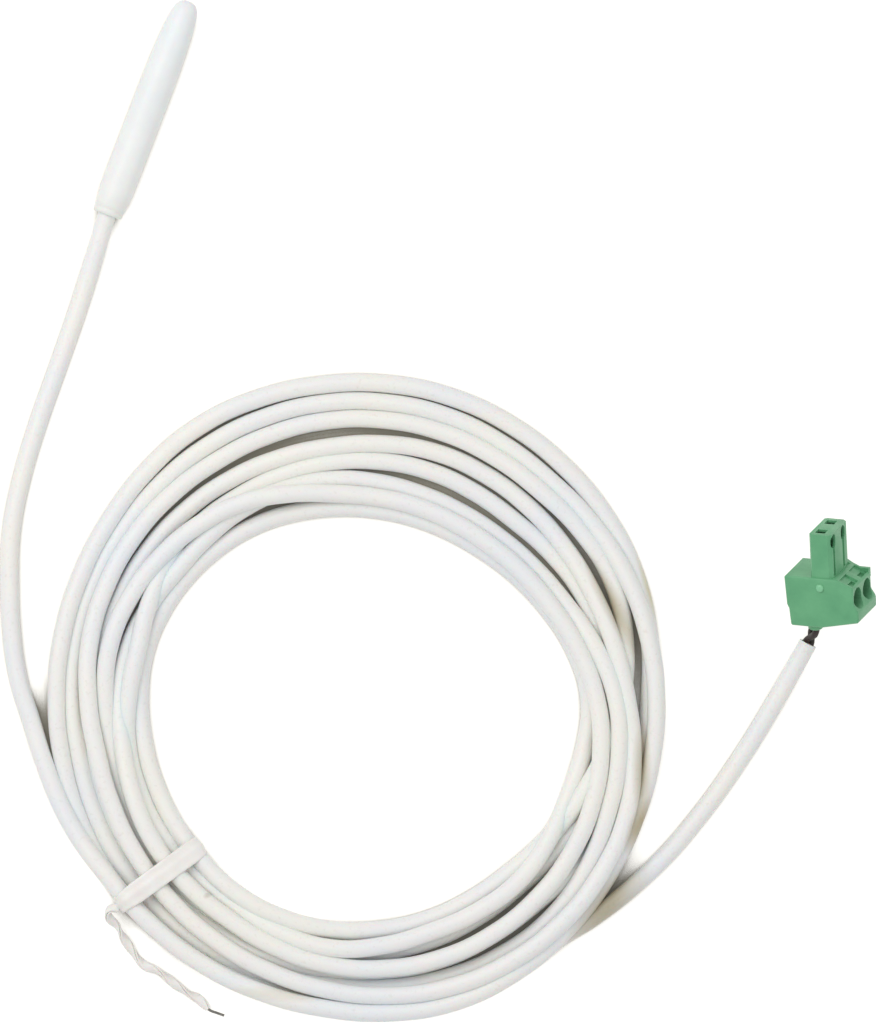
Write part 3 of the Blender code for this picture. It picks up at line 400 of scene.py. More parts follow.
def lead_jacket():
    """Soft white jacket: cool and warm patches, a fine grain and a few specks."""
    made, shader, place = surface(
        "lead_jacket", 0.42, Subsurface_Weight=0.25, Subsurface_Scale=1.2 * MM
    )
    patches = ramp(
        made,
        noise(made, place, 45, 2.0),
        (0.34, (0.815, 0.835, 0.855)),
        (0.66, (0.875, 0.865, 0.815)),
        (0.5, (0.850, 0.850, 0.835)),
    )
    speck = noise(made, place, 1400, 4.0)
    specks = ramp(made, speck, (0.28, (0.90, 0.89, 0.86)), (0.42, (1, 1, 1)))
    fine = noise(made, place, 2600, 3.0)
    relief(made, shader, fine, 0.02 * MM, 0.6)
    color = tint(made, patches, specks, 0.7)
    # Painted shade along the coil's gaps and under its edge, and one real dirt speck
    for spot in PAINTED_SHADE_AND_DIRT_SPOTS:
        color = shade_and_dirt_spot(made, color, place, spot)
    return paint(made, shader, color, spread(made, fine, 0.36, 0.5))


def capsule_moulding():
    """Off-white moulding: soft mottling, cooler at the tip and warmer at the neck."""
    made, shader, place = surface(
        "capsule_moulding", 0.42, Subsurface_Weight=0.3, Subsurface_Scale=1.5 * MM
    )
    nodes = made.node_tree.nodes
    split = nodes.new("ShaderNodeSeparateXYZ")
    made.node_tree.links.new(place, split.inputs["Vector"])
    along = nodes.new("ShaderNodeMapRange")
    along.inputs["From Min"].default_value = CAPSULE_START
    along.inputs["From Max"].default_value = -CAPSULE_START
    made.node_tree.links.new(split.outputs["Y"], along.inputs["Value"])
    length = ramp(
        made,
        along.outputs["Result"],
        (0.0, (0.83, 0.84, 0.80)),
        (1.0, (0.84, 0.87, 0.88)),
        (0.12, (0.87, 0.875, 0.86)),
    )
    cloud = noise(made, place, 220, 3.0)
    mottle = ramp(made, cloud, (0.35, (0.965, 0.97, 0.975)), (0.65, (1, 1, 1)))
    fine = noise(made, place, 1800, 4.0)
    relief(made, shader, fine, 0.03 * MM, 0.7)
    return paint(made, shader, tint(made, length, mottle, 1.0), spread(made, fine, 0.36, 0.5))


def tie_coating():
    """Warm white coated strip with small creases across it."""
    made, shader, place = surface(
        "tie_coating", 0.38, Subsurface_Weight=0.2, Subsurface_Scale=0.6 * MM
    )
    patches = ramp(
        made,
        noise(made, place, 300, 3.0),
        (0.35, (0.84, 0.81, 0.775)),
        (0.65, (0.885, 0.865, 0.835)),
    )
    crease = noise(made, place, 700, 3.0, (1, 2.5, 1))
    relief(made, shader, crease, 0.08 * MM, 0.6)
    return paint(made, shader, patches, spread(made, crease, 0.32, 0.46))


def green_polyamide(name, low, high, roughness):
    """Green moulded plastic with a fine spark-eroded grain and painted shade deep in the screw
    wells.
    """
    made, shader, place = surface(name, roughness)
    patches = ramp(made, noise(made, place, 260, 3.0), (0.3, low), (0.7, high))
    # Painted shade deep in each screw well
    for number in POLES:
        patches = well_shade(made, patches, place, number)
    grain = noise(made, place, 5200, 3.0)
    relief(made, shader, grain, 0.02 * MM, 0.6)
    return paint(made, shader, patches, spread(made, grain, roughness - 0.06, roughness + 0.08))


def dark_plastic(name, low, high, roughness):
    """Dark insulation or resin with a slightly uneven sheen."""
    made, shader, place = surface(name, roughness)
    pattern = noise(made, place, 900, 3.0)
    relief(made, shader, pattern, 0.03 * MM, 0.5)
    color = ramp(made, pattern, (0.35, low), (0.65, high))
    return paint(made, shader, color, spread(made, pattern, roughness - 0.06, roughness + 0.08))


def metal(name, low, high, roughness, scale=1500, stretch=(1, 1, 1)):
    """Plated or bare metal with fine tool marks."""
    made, shader, place = surface(name, roughness, 1.0)
    pattern = noise(made, place, scale, 4.0, stretch)
    relief(made, shader, pattern, 0.01 * MM, 0.6)
    color = ramp(made, pattern, (0.3, low), (0.7, high))
    return paint(made, shader, color, spread(made, pattern, roughness - 0.08, roughness + 0.1))


def make_finishes():
    """Every surface finish on the probe."""
    return {
        "lead_jacket": lead_jacket(),
        "capsule_moulding": capsule_moulding(),
        "tie_coating": tie_coating(),
        "green_polyamide": green_polyamide(
            "green_polyamide", (0.105, 0.355, 0.175), (0.140, 0.420, 0.210), 0.42
        ),
        # The pip's lighter green is a painted highlight; its lower roughness is its polish
        "polished_green_painted_highlight": green_polyamide(
            "polished_green_painted_highlight", (0.20, 0.52, 0.29), (0.25, 0.60, 0.34), 0.22
        ),
        "bead_resin": dark_plastic("bead_resin", (0.03, 0.03, 0.03), (0.06, 0.055, 0.05), 0.25),
        "shrink_sleeve": dark_plastic(
            "shrink_sleeve", (0.022, 0.022, 0.022), (0.04, 0.04, 0.04), 0.5
        ),
        "black_insulation": dark_plastic(
            "black_insulation", (0.020, 0.012, 0.010), (0.036, 0.023, 0.020), 0.55
        ),
        "tinned_copper": metal("tinned_copper", (0.66, 0.63, 0.58), (0.78, 0.76, 0.72), 0.32),
        "plated_steel": metal("plated_steel", (0.55, 0.56, 0.55), (0.68, 0.69, 0.68), 0.32),
        "tinned_bronze": metal("tinned_bronze", (0.63, 0.59, 0.52), (0.75, 0.72, 0.66), 0.3),
        "bare_copper": metal("bare_copper", (0.62, 0.32, 0.19), (0.80, 0.48, 0.32), 0.3),
        "tie_steel": metal("tie_steel", (0.18, 0.175, 0.165), (0.30, 0.29, 0.27), 0.42),
    }


def blank_tree(name, sizes, counts=()):
    """A tree with a geometry input and a named input for each size and count."""
    tree = bpy.data.node_groups.new(name, "GeometryNodeTree")
    faces = tree.interface
    faces.new_socket("Geometry", in_out="INPUT", socket_type="NodeSocketGeometry")
    faces.new_socket("Geometry", in_out="OUTPUT", socket_type="NodeSocketGeometry")
    for label in sizes:
        faces.new_socket(label, in_out="INPUT", socket_type="NodeSocketFloat")
    for label in counts:
        faces.new_socket(label, in_out="INPUT", socket_type="NodeSocketInt")
    return tree, tree.nodes.new("NodeGroupInput").outputs


def add(tree, kind, **inputs):
    """A node, each input set to a value or joined to another node's output."""
    node = tree.nodes.new(kind)
    for label, value in inputs.items():
        socket = node.inputs[label.replace("_", " ")]
        if isinstance(value, bpy.types.NodeSocket):
            tree.links.new(value, socket)
        else:
            socket.default_value = value
    return node


def sum_of(tree, operation, first, second):
    """The result of one operation on two values or outputs."""
    node = tree.nodes.new("ShaderNodeMath")
    node.operation = operation
    for socket, value in zip(node.inputs, (first, second)):
        if isinstance(value, bpy.types.NodeSocket):
            tree.links.new(value, socket)
        else:
            socket.default_value = value
    return node.outputs["Value"]


def close_tree(tree, geometry, material):
    """Ends a tree in real faces with their finish."""
    real = add(tree, "GeometryNodeRealizeInstances", Geometry=geometry)
    dressed = add(
        tree, "GeometryNodeSetMaterial", Geometry=real.outputs["Geometry"], Material=material
    )
    smooth = add(
        tree, "GeometryNodeSetShadeSmooth", Geometry=dressed.outputs["Geometry"], Shade_Smooth=True
    )
    out = tree.nodes.new("NodeGroupOutput")
    tree.links.new(smooth.outputs["Geometry"], out.inputs["Geometry"])
    return tree


def grown(name, base, tree, sizes, place=Matrix.Identity(4)):
    """Runs a tree on a mesh and returns what it makes as a plain piece."""
    holder = link(bpy.data.objects.new(f"{name}_base", base))
    step = holder.modifiers.new(tree.name, "NODES")
    step.node_group = tree
    for item in tree.interface.items_tree:
        if item.name in sizes:
            step[item.identifier] = sizes[item.name]
    view = bpy.context.evaluated_depsgraph_get()
    mesh = bpy.data.meshes.new_from_object(holder.evaluated_get(view), depsgraph=view)
    holder.modifiers.remove(step)
    bpy.data.objects.remove(holder)
    mesh.transform(place)
    mesh.name = name
    return link(bpy.data.objects.new(name, mesh))


def line_mesh(name, points):
    """A bare line of edges through points."""
    mesh = bpy.data.meshes.new(name)
    edges = [(index, index + 1) for index in range(len(points) - 1)]
    mesh.from_pydata([tuple(point) for point in points], edges, [])
    return mesh


def coil_layout():
    """The radius and order of every point round the coil, two for each station."""
    radii = [radius * MM for turn in TURNS for radius in turn]
    layers = [int(layer) for turn in LAYERS for layer in turn]
    points = []
    for index, radius in enumerate(radii):
        points.append((index, radius, layers[index]))
        if index + 1 < len(radii):
            before = radii[max(index - 1, 0)]
            after = radii[index + 1]
            beyond = radii[min(index + 2, len(radii) - 1)]
            between = (9 * (radius + after) - before - beyond) / 16
            points.append((index + 0.5, between, max(layers[index], layers[index + 1])))
    return points


def settle(points):
    """The height of every point, each strand resting on those below it."""
    heights = {}
    pitch = 2 * LEAD_RADIUS * PRESS
    beams = {}
    for index, radius, layer in points:
        beams.setdefault(index % STATIONS, []).append((layer, index, radius))
    for beam in beams.values():
        placed = []
        for layer, index, radius in sorted(beam):
            height = LEAD_RADIUS
            for other_radius, other_height in placed:
                apart = abs(radius - other_radius)
                if apart < pitch:
                    height = max(height, other_height + sqrt(pitch**2 - apart**2))
            height = min(height, TOP_STRAND)
            placed.append((radius, height))
            heights[index] = height
    return [heights[index] for index, _, _ in points]


def coil_route():
    """The lead's turns in table coordinates, from the capsule's strand to the plug's."""
    points = coil_layout()
    heights = settle(points)
    for _ in range(HEIGHT_EASE):
        ends = [heights[0], *heights, heights[-1]]
        heights = [(a + 2 * b + c) / 4 for a, b, c in zip(ends, ends[1:], ends[2:])]
    route = []
    for (index, radius, _), height in zip(points, heights):
        angle = COIL_START + 2 * pi * index / STATIONS
        apart = (angle - TIE_BEARING + pi) % (2 * pi) - pi
        height += TIE_LIFT * exp(-((apart / TIE_LIFT_SPAN) ** 2))
        route.append(COIL_CENTRE + Vector((radius * cos(angle), radius * sin(angle), height)))
    return route


def round_cord(name, route, radius, material):
    """A smooth round cord through the route's points."""
    curve = bpy.data.curves.new(name, "CURVE")
    curve.dimensions = "3D"
    curve.resolution_u = 8
    curve.bevel_depth = radius
    curve.bevel_resolution = 5
    curve.use_fill_caps = True
    line = curve.splines.new("BEZIER")
    line.bezier_points.add(len(route) - 1)
    for point, place in zip(line.bezier_points, route):
        point.co = place
        point.handle_left_type = "AUTO"
        point.handle_right_type = "AUTO"
    curve.materials.append(material)
    made = link(bpy.data.objects.new(name, curve))
    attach(made, BODY)
    return made


def along_curve(piece):
    """Points along the middle line of a cord."""
    points = piece.data.splines[0].bezier_points
    line = []
    for start, end in zip(points, points[1:]):
        line += interpolate_bezier(start.co, start.handle_right, end.handle_left, end.co, 9)[:-1]
    line.append(points[-1].co.copy())
    return line


def make_lead(finishes, plug_pieces):
    """The lead in one run: out of the capsule, round the coil and on to the plug."""
    table_run = [Vector(point) for point in ROUTE_TO_COIL]
    table_run += coil_route()
    table_run += [Vector(point) for point in ROUTE_TO_PLUG]
    route = [Vector(NECK_SEAT), Vector(NECK_LEAD), Vector(NECK_EXIT)]
    route += [TABLE @ point for point in table_run]
    lead = round_cord("lead", route, LEAD_RADIUS, finishes["lead_jacket"])
    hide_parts("lead_to_coil", "lead_coil", "lead_to_plug")
    return lead


def hull(points):
    """The outline round a set of flat points, anticlockwise."""
    points = sorted(points)
    rims = []
    for run in (points, points[::-1]):
        rim = []
        for point in run:
            while len(rim) > 1 and (
                (rim[-1][0] - rim[-2][0]) * (point[1] - rim[-2][1])
                - (rim[-1][1] - rim[-2][1]) * (point[0] - rim[-2][0])
            ) <= 0:
                rim.pop()
            rim.append(point)
        rims.append(rim[:-1])
    return rims[0] + rims[1]


def even_loop(outline, steps):
    """Evenly spaced points round a closed outline, then eased."""
    closed = [Vector(point) for point in [*outline, outline[0]]]
    along = [0.0]
    for start, end in zip(closed, closed[1:]):
        along.append(along[-1] + (end - start).length)
    loop = []
    index = 0
    for step in range(steps):
        target = along[-1] * step / steps
        while along[index + 1] < target:
            index += 1
        share = (target - along[index]) / (along[index + 1] - along[index])
        loop.append(closed[index].lerp(closed[index + 1], share))
    for _ in range(BAND_EASE):
        loop = [(loop[i - 1] + 2 * loop[i] + loop[(i + 1) % steps]) / 4 for i in range(steps)]
    return loop


def strands_under_tie(lead):
    """Where the lead's strands cross the tie's line: (distance along it, height)."""
    along = Vector((cos(TIE_TURN), sin(TIE_TURN), 0))
    across = Vector((-sin(TIE_TURN), cos(TIE_TURN), 0))
    level = TABLE.inverted()
    line = [level @ point - TIE_CENTRE for point in along_curve(lead)]
    found = []
    for start, end in zip(line, line[1:]):
        before, after = start.dot(across), end.dot(across)
        if before * after <= 0 and before != after:
            point = start.lerp(end, before / (before - after))
            if abs(point.dot(along)) < TIE_REACH:
                found.append((point.dot(along), point.z))
    return found


def band_width(distance):
    """The band's width at a distance along the tie's line."""
    place = distance / MM
    width = BAND_WIDTHS[0][1]
    for (start, low), (end, high) in zip(BAND_WIDTHS, BAND_WIDTHS[1:]):
        if place > start:
            share = min((place - start) / (end - start), 1.0)
            width = low + (high - low) * (3 - 2 * share) * share**2
    return width * MM


def band_section(width):
    """The band's section: (across, out), thin wings with the wire's ridge in the middle."""
    half = width / 2
    thin = BAND_THICKNESS / 2
    steps = 10
    section = []
    for step in range(steps + 1):
        share = 2 * step / steps - 1
        rise = BAND_RIDGE * exp(-((share * half / BAND_RIDGE_SPAN) ** 2))
        section.append((share * (half - thin / 2), thin + rise))
    section.append((half, 0.0))
    for step in range(steps, -1, -1):
        share = 2 * step / steps - 1
        section.append((share * (half - thin / 2), -thin))
    section.append((-half, 0.0))
    return section


def join_rims(shape, rims):
    """Faces from each rim of points to the next."""
    for start, end in zip(rims, rims[1:]):
        for i in range(len(start)):
            j = (i + 1) % len(start)
            shape.faces.new((start[i], end[i], end[j], start[j]))


def make_band(lead, material):
    """The tie's band, drawn tight round the strands."""
    reach = LEAD_RADIUS + BAND_SLACK + BAND_THICKNESS / 2
    ring = []
    for distance, height in strands_under_tie(lead):
        for step in range(STRAND_SIDES):
            angle = 2 * pi * step / STRAND_SIDES
            point = (distance + reach * cos(angle), height + reach * sin(angle))
            ring.append((point[0], max(point[1], BAND_THICKNESS / 2)))
    loop = even_loop(hull(ring), BAND_STEPS)
    seat = TABLE @ Matrix.Translation(TIE_CENTRE) @ Matrix.Rotation(TIE_TURN, 4, "Z")
    shape = bmesh.new()
    rims = []
    for index, point in enumerate(loop):
        ahead = (loop[(index + 1) % BAND_STEPS] - loop[index - 1]).normalized()
        out = Vector((ahead.y, -ahead.x))
        rim = []
        for across, rise in band_section(band_width(point.x)):
            place = point + out * rise
            rim.append(shape.verts.new(seat @ Vector((place.x, across, max(place.y, 0.0)))))
        rims.append(rim)
    join_rims(shape, [*rims, rims[0]])
    bmesh.ops.recalc_face_normals(shape, faces=shape.faces)
    return plain_piece("tie_band", shape, material)


def plain_piece(name, shape, material):
    """A smooth mesh piece in one finish."""
    mesh = bpy.data.meshes.new(name)
    shape.to_mesh(mesh)
    shape.free()
    mesh.shade_smooth()
    mesh.materials.append(material)
    return link(bpy.data.objects.new(name, mesh))


def tail_tree(material):
    """Two coated strips laid on each other and twisted along a line."""
    tree, given = blank_tree("twisted_tail", ("Turns", "Width", "Thickness"), ("Steps",))
    line = add(tree, "GeometryNodeMeshToCurve", Mesh=given["Geometry"])
    even = add(tree, "GeometryNodeResampleCurve", Curve=line.outputs["Curve"], Count=given["Steps"])
    share = add(tree, "GeometryNodeSplineParameter").outputs["Factor"]
    turn = sum_of(tree, "MULTIPLY", sum_of(tree, "MULTIPLY", share, given["Turns"]), 2 * pi)
    twisted = add(tree, "GeometryNodeSetCurveTilt", Curve=even.outputs["Curve"], Tilt=turn)
    uneven = add(tree, "ShaderNodeTexNoise", Scale=SWELL_SCALE, Vector=share)
    more = sum_of(tree, "MULTIPLY", uneven.outputs["Fac"], SWELL_RANGE)
    swell = sum_of(tree, "ADD", more, SWELL_LEAST)
    full = add(tree, "GeometryNodeSetCurveRadius", Curve=twisted.outputs["Curve"], Radius=swell)
    round_line = add(tree, "GeometryNodeCurvePrimitiveCircle", Resolution=14, Radius=0.5)
    offset = sum_of(tree, "MULTIPLY", given["Thickness"], STRIP_OFFSET)
    depth = sum_of(tree, "MULTIPLY", given["Thickness"], STRIP_THICKNESS)
    both = tree.nodes.new("GeometryNodeJoinGeometry")
    for side in (-1, 1):
        shift = add(tree, "ShaderNodeCombineXYZ", Y=sum_of(tree, "MULTIPLY", offset, side))
        size = add(tree, "ShaderNodeCombineXYZ", X=given["Width"], Y=depth, Z=1.0)
        strip = add(
            tree,
            "GeometryNodeTransform",
            Geometry=round_line.outputs["Curve"],
            Translation=shift.outputs["Vector"],
            Scale=size.outputs["Vector"],
        )
        tree.links.new(strip.outputs["Geometry"], both.inputs["Geometry"])
    swept = add(
        tree,
        "GeometryNodeCurveToMesh",
        Curve=full.outputs["Curve"],
        Profile_Curve=both.outputs["Geometry"],
        Fill_Caps=True,
    )
    return close_tree(tree, swept.outputs["Mesh"], material)


def make_tie(finishes, lead):
    """The twist tie: its band, the twisted tail and the wire bared at the end."""
    band = make_band(lead, finishes["tie_coating"])
    guide = round_cord("tail_line", [TABLE @ Vector(point) for point in TAIL_ROUTE], MM, None)
    path = line_mesh("tail_line", along_curve(guide))
    bpy.data.objects.remove(guide)
    sizes = {
        "Turns": TAIL_TURNS,
        "Width": TAIL_WIDTH,
        "Thickness": TAIL_THICKNESS,
        "Steps": TAIL_STEPS,
    }
    tail = grown("tie_tail", path, tail_tree(finishes["tie_coating"]), sizes)
    end = round_cord(
        "tie_wire_end",
        [TABLE @ Vector(point) for point in TIE_WIRE_ROUTE],
        TIE_WIRE_RADIUS,
        finishes["tie_steel"],
    )
    for piece in (band, tail, end):
        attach(piece, BODY)
    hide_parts("tie_strip")
    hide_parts("tie_strip")
    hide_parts("tie_wire")


def make_capsule(finishes):
    """The moulded capsule: a ringed mouth, a soft shoulder, a long barrel and a tapered tip."""
    inner = [
        (CAPSULE_BORE_END, 0),
        (CAPSULE_BORE_END, CAPSULE_BORE),
        (CAPSULE_SEAT_END, CAPSULE_BORE),
        (CAPSULE_SEAT_END, CAPSULE_LINE[0][1] * MM),
    ]
    outer = [(along * MM, radius * MM) for along, radius in CAPSULE_LINE]
    shape = bmesh.new()
    rims = []
    for along, radius in [*inner, *outer]:
        place = CAPSULE_START + along
        rim = []
        for side in range(CAPSULE_SIDES):
            angle = 2 * pi * side / CAPSULE_SIDES
            seam = side in (0, CAPSULE_SIDES // 2) and radius > FLASH_FROM
            reach = radius + (FLASH_HEIGHT if seam else 0.0)
            at = (reach * cos(angle), place, CAPSULE_HEIGHT + reach * sin(angle))
            rim.append(shape.verts.new(at))
        rims.append(rim)
    join_rims(shape, rims)
    bmesh.ops.remove_doubles(shape, verts=shape.verts, dist=SAME_POINT)
    bmesh.ops.recalc_face_normals(shape, faces=shape.faces)
    capsule = plain_piece("capsule", shape, finishes["capsule_moulding"])
    capsule.data.set_sharp_from_angle(angle=radians(50))
    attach(capsule, BODY)
    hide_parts("probe_capsule")


def plug_seat():
    """The plug's place: on its lowest corner, leaning as in the photograph."""
    turn = PLUG_LEAN.to_matrix()
    lowest = turn @ Vector((FOOT_INSET, POLE_PITCH * len(POLES), 0))
    return TABLE @ Matrix.Translation((*PLUG_ORIGIN, -lowest.z)) @ turn.to_4x4()


def pole_y(number):
    """The middle of one pole, across the plug."""
    return POLE_PITCH * (number - 0.5)


def thread_tree(material):
    """A bolt with a thread wound on it, about Z."""
    tree, given = blank_tree("wound_thread", ("Start", "Length", "Pitch", "Radius", "Depth"))
    rounds = sum_of(tree, "DIVIDE", given["Length"], given["Pitch"])
    spiral = add(
        tree,
        "GeometryNodeCurveSpiral",
        Resolution=36,
        Rotations=rounds,
        Start_Radius=given["Radius"],
        End_Radius=given["Radius"],
        Height=given["Length"],
    )
    lift = add(tree, "ShaderNodeCombineXYZ", Z=given["Start"])
    raised = add(
        tree,
        "GeometryNodeTransform",
        Geometry=spiral.outputs["Curve"],
        Translation=lift.outputs["Vector"],
    )
    ridge = add(tree, "GeometryNodeCurvePrimitiveCircle", Resolution=4, Radius=given["Depth"])
    swept = add(
        tree,
        "GeometryNodeCurveToMesh",
        Curve=raised.outputs["Geometry"],
        Profile_Curve=ridge.outputs["Curve"],
        Fill_Caps=True,
    )
    both = tree.nodes.new("GeometryNodeJoinGeometry")
    tree.links.new(given["Geometry"], both.inputs["Geometry"])
    tree.links.new(swept.outputs["Mesh"], both.inputs["Geometry"])
    return close_tree(tree, both.outputs["Geometry"], material)


def strand_tree(material):
    """A bared conductor: six strands wound round a straight one, along Z."""
    tree, given = blank_tree("wound_strands", ("Length", "Turns", "Radius"), ("Strands",))
    lay = sum_of(tree, "MULTIPLY", given["Radius"], 2.0)
    spiral = add(
        tree,
        "GeometryNodeCurveSpiral",
        Resolution=40,
        Rotations=given["Turns"],
        Start_Radius=lay,
        End_Radius=lay,
        Height=given["Length"],
    )
    copies = add(
        tree, "GeometryNodeMeshLine", Count=given["Strands"], Offset=(0.0, 0.0, 0.0)
    )
    number = add(tree, "GeometryNodeInputIndex").outputs["Index"]
    step = sum_of(tree, "DIVIDE", 2 * pi, given["Strands"])
    turn = add(tree, "ShaderNodeCombineXYZ", Z=sum_of(tree, "MULTIPLY", number, step))
    wound = add(
        tree,
        "GeometryNodeInstanceOnPoints",
        Points=copies.outputs["Mesh"],
        Instance=spiral.outputs["Curve"],
        Rotation=turn.outputs["Vector"],
    )
    real = add(tree, "GeometryNodeRealizeInstances", Geometry=wound.outputs["Instances"])
    middle = add(tree, "GeometryNodeMeshToCurve", Mesh=given["Geometry"])
    both = tree.nodes.new("GeometryNodeJoinGeometry")
    tree.links.new(real.outputs["Geometry"], both.inputs["Geometry"])
    tree.links.new(middle.outputs["Curve"], both.inputs["Geometry"])
    ring = add(tree, "GeometryNodeCurvePrimitiveCircle", Resolution=10, Radius=given["Radius"])
    swept = add(
        tree,
        "GeometryNodeCurveToMesh",
        Curve=both.outputs["Geometry"],
        Profile_Curve=ring.outputs["Curve"],
        Fill_Caps=True,
    )
    return close_tree(tree, swept.outputs["Mesh"], material)


def rounded_copy(node, name, width, material, body=BODY):
    """A CAD node's form with its flat faces joined again and its edges rounded."""
    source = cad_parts[node]
    shape = bmesh.new()
    shape.from_mesh(source.data)
    bmesh.ops.remove_doubles(shape, verts=shape.verts, dist=SAME_CAD_POINT)
    bmesh.ops.dissolve_limit(shape, angle_limit=radians(1), verts=shape.verts, edges=shape.edges)
    mesh = bpy.data.meshes.new(name)
    shape.to_mesh(mesh)
    shape.free()
    mesh.shade_smooth()
    mesh.materials.clear()
    mesh.materials.append(material)
    made = link(bpy.data.objects.new(name, mesh))
    edge = made.modifiers.new("rounded_edges", "BEVEL")
    edge.width = width
    edge.segments = 2
    edge.limit_method = "ANGLE"
    edge.angle_limit = EDGE_ANGLE
    edge.harden_normals = True
    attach(made, body)
    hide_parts(node)
    return made


def make_screw(number, place, tree):
    """One clamp screw with its slot and its thread."""
    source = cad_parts[f"clamp_screw_{number}"]
    shape = bmesh.new()
    shape.from_mesh(source.data)
    bmesh.ops.remove_doubles(shape, verts=shape.verts, dist=SAME_CAD_POINT)
    shape.transform(place.inverted())
    base = bpy.data.meshes.new("screw_blank")
    shape.to_mesh(base)
    shape.free()
    base.materials.clear()
    sizes = {
        "Start": THREAD_START,
        "Length": THREAD_LENGTH,
        "Pitch": THREAD_PITCH,
        "Radius": SCREW_RADIUS,
        "Depth": THREAD_DEPTH,
    }
    screw = grown(f"screw_{number}_threaded", base, tree, sizes, place)
    screw.data.set_sharp_from_angle(angle=radians(35))
    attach(screw, f"screw_{number}")
    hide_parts(f"clamp_screw_{number}")
    return screw


def make_cores(finishes, seat):
    """The two black cores, close together from the jacket's end into the plug."""
    end = Vector(ROUTE_TO_PLUG[-1])
    heading = (end - Vector(ROUTE_TO_PLUG[-2])).normalized()
    across = heading.cross(Vector((0, 0, 1))).normalized()
    made = []
    for number, side in zip(POLES, (-1, 1)):
        offset = (across * CORE_SPREAD - Vector((0, 0, CORE_DROP))) * side
        route = [TABLE @ (end - heading * CORE_SEAT + offset), TABLE @ (end + offset)]
        if number == POLES[-1]:
            route.append(TABLE @ Vector(FAR_CORE_BEND))
        y = pole_y(number)
        for z in (-COLLAR_REACH - CORE_RADIUS, 0, CORE_DEPTH):
            route.append(seat @ Vector((ENTRY_X, y, z)))
        core = round_cord(f"core_{number}", route, CORE_RADIUS, finishes["black_insulation"])
        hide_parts(f"plug_core_{number}")
        made.append(core)
    return made


def make_pip(finishes, seat):
    """The polished pip on the housing's side, which joins one plug to the next, in a lighter green
    that is a painted highlight.
    """
    shape = bmesh.new()
    rims = []
    for step in range(PIP_STEPS + 1):
        angle = pi / 2 * step / PIP_STEPS
        across = PIP_RADIUS * cos(angle) ** PIP_FULLNESS
        rim = []
        for side in range(PIP_SIDES):
            turn = 2 * pi * side / PIP_SIDES
            at = (PIP_X + across * cos(turn), -PIP_HEIGHT * sin(angle), PIP_Z + across * sin(turn))
            rim.append(shape.verts.new(seat @ Vector(at)))
        rims.append(rim)
    join_rims(shape, rims)
    bmesh.ops.remove_doubles(shape, verts=shape.verts, dist=SAME_POINT)
    shape.faces.new([vert for vert in shape.verts if vert.is_boundary])
    bmesh.ops.recalc_face_normals(shape, faces=shape.faces)
    pip = plain_piece("side_pip", shape, finishes["polished_green_painted_highlight"])
    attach(pip, BODY)
    return pip


def make_plug(finishes):
    """The green housing with softened edges, its clamps, screws, contacts and wires."""
    seat = plug_seat()
    housing = rounded_copy("plug_housing", "housing", HOUSING_EDGE, finishes["green_polyamide"])
    made = [housing, make_pip(finishes, seat), *make_cores(finishes, seat)]
    thread = thread_tree(finishes["plated_steel"])
    strands = strand_tree(finishes["bare_copper"])
    for number in POLES:
        y = pole_y(number)
        along_screw = seat @ Matrix.Translation((0, y, SCREW_Z)) @ Matrix.Rotation(pi / 2, 4, "Y")
        made.append(make_screw(number, along_screw, thread))
        cage = rounded_copy(
            f"clamp_cage_{number}",
            f"cage_{number}_rounded",
            CAGE_EDGE,
            finishes["plated_steel"],
            f"cage_{number}",
        )
        fork = rounded_copy(
            f"contact_fork_{number}", f"fork_{number}", FORK_EDGE, finishes["tinned_bronze"]
        )
        middle = line_mesh("strand_line", ((0, 0, 0), (0, 0, BARE_LENGTH)))
        sizes = {
            "Length": BARE_LENGTH,
            "Turns": STRAND_TURNS,
            "Radius": STRAND_RADIUS,
            "Strands": STRANDS,
        }
        place = seat @ Matrix.Translation((ENTRY_X, y, BARE_START))
        bare = grown(f"bare_strands_{number}", middle, strands, sizes, place)
        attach(bare, BODY)
        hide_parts(f"bare_end_{number}")
        made += [cage, fork, bare]
    return made


def finish_cad(finishes):
    """Gives the kept CAD nodes their materials."""
    for name, nodes in FINISHES.items():
        for node in nodes:
            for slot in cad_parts[node].material_slots:
                slot.material = finishes[name]


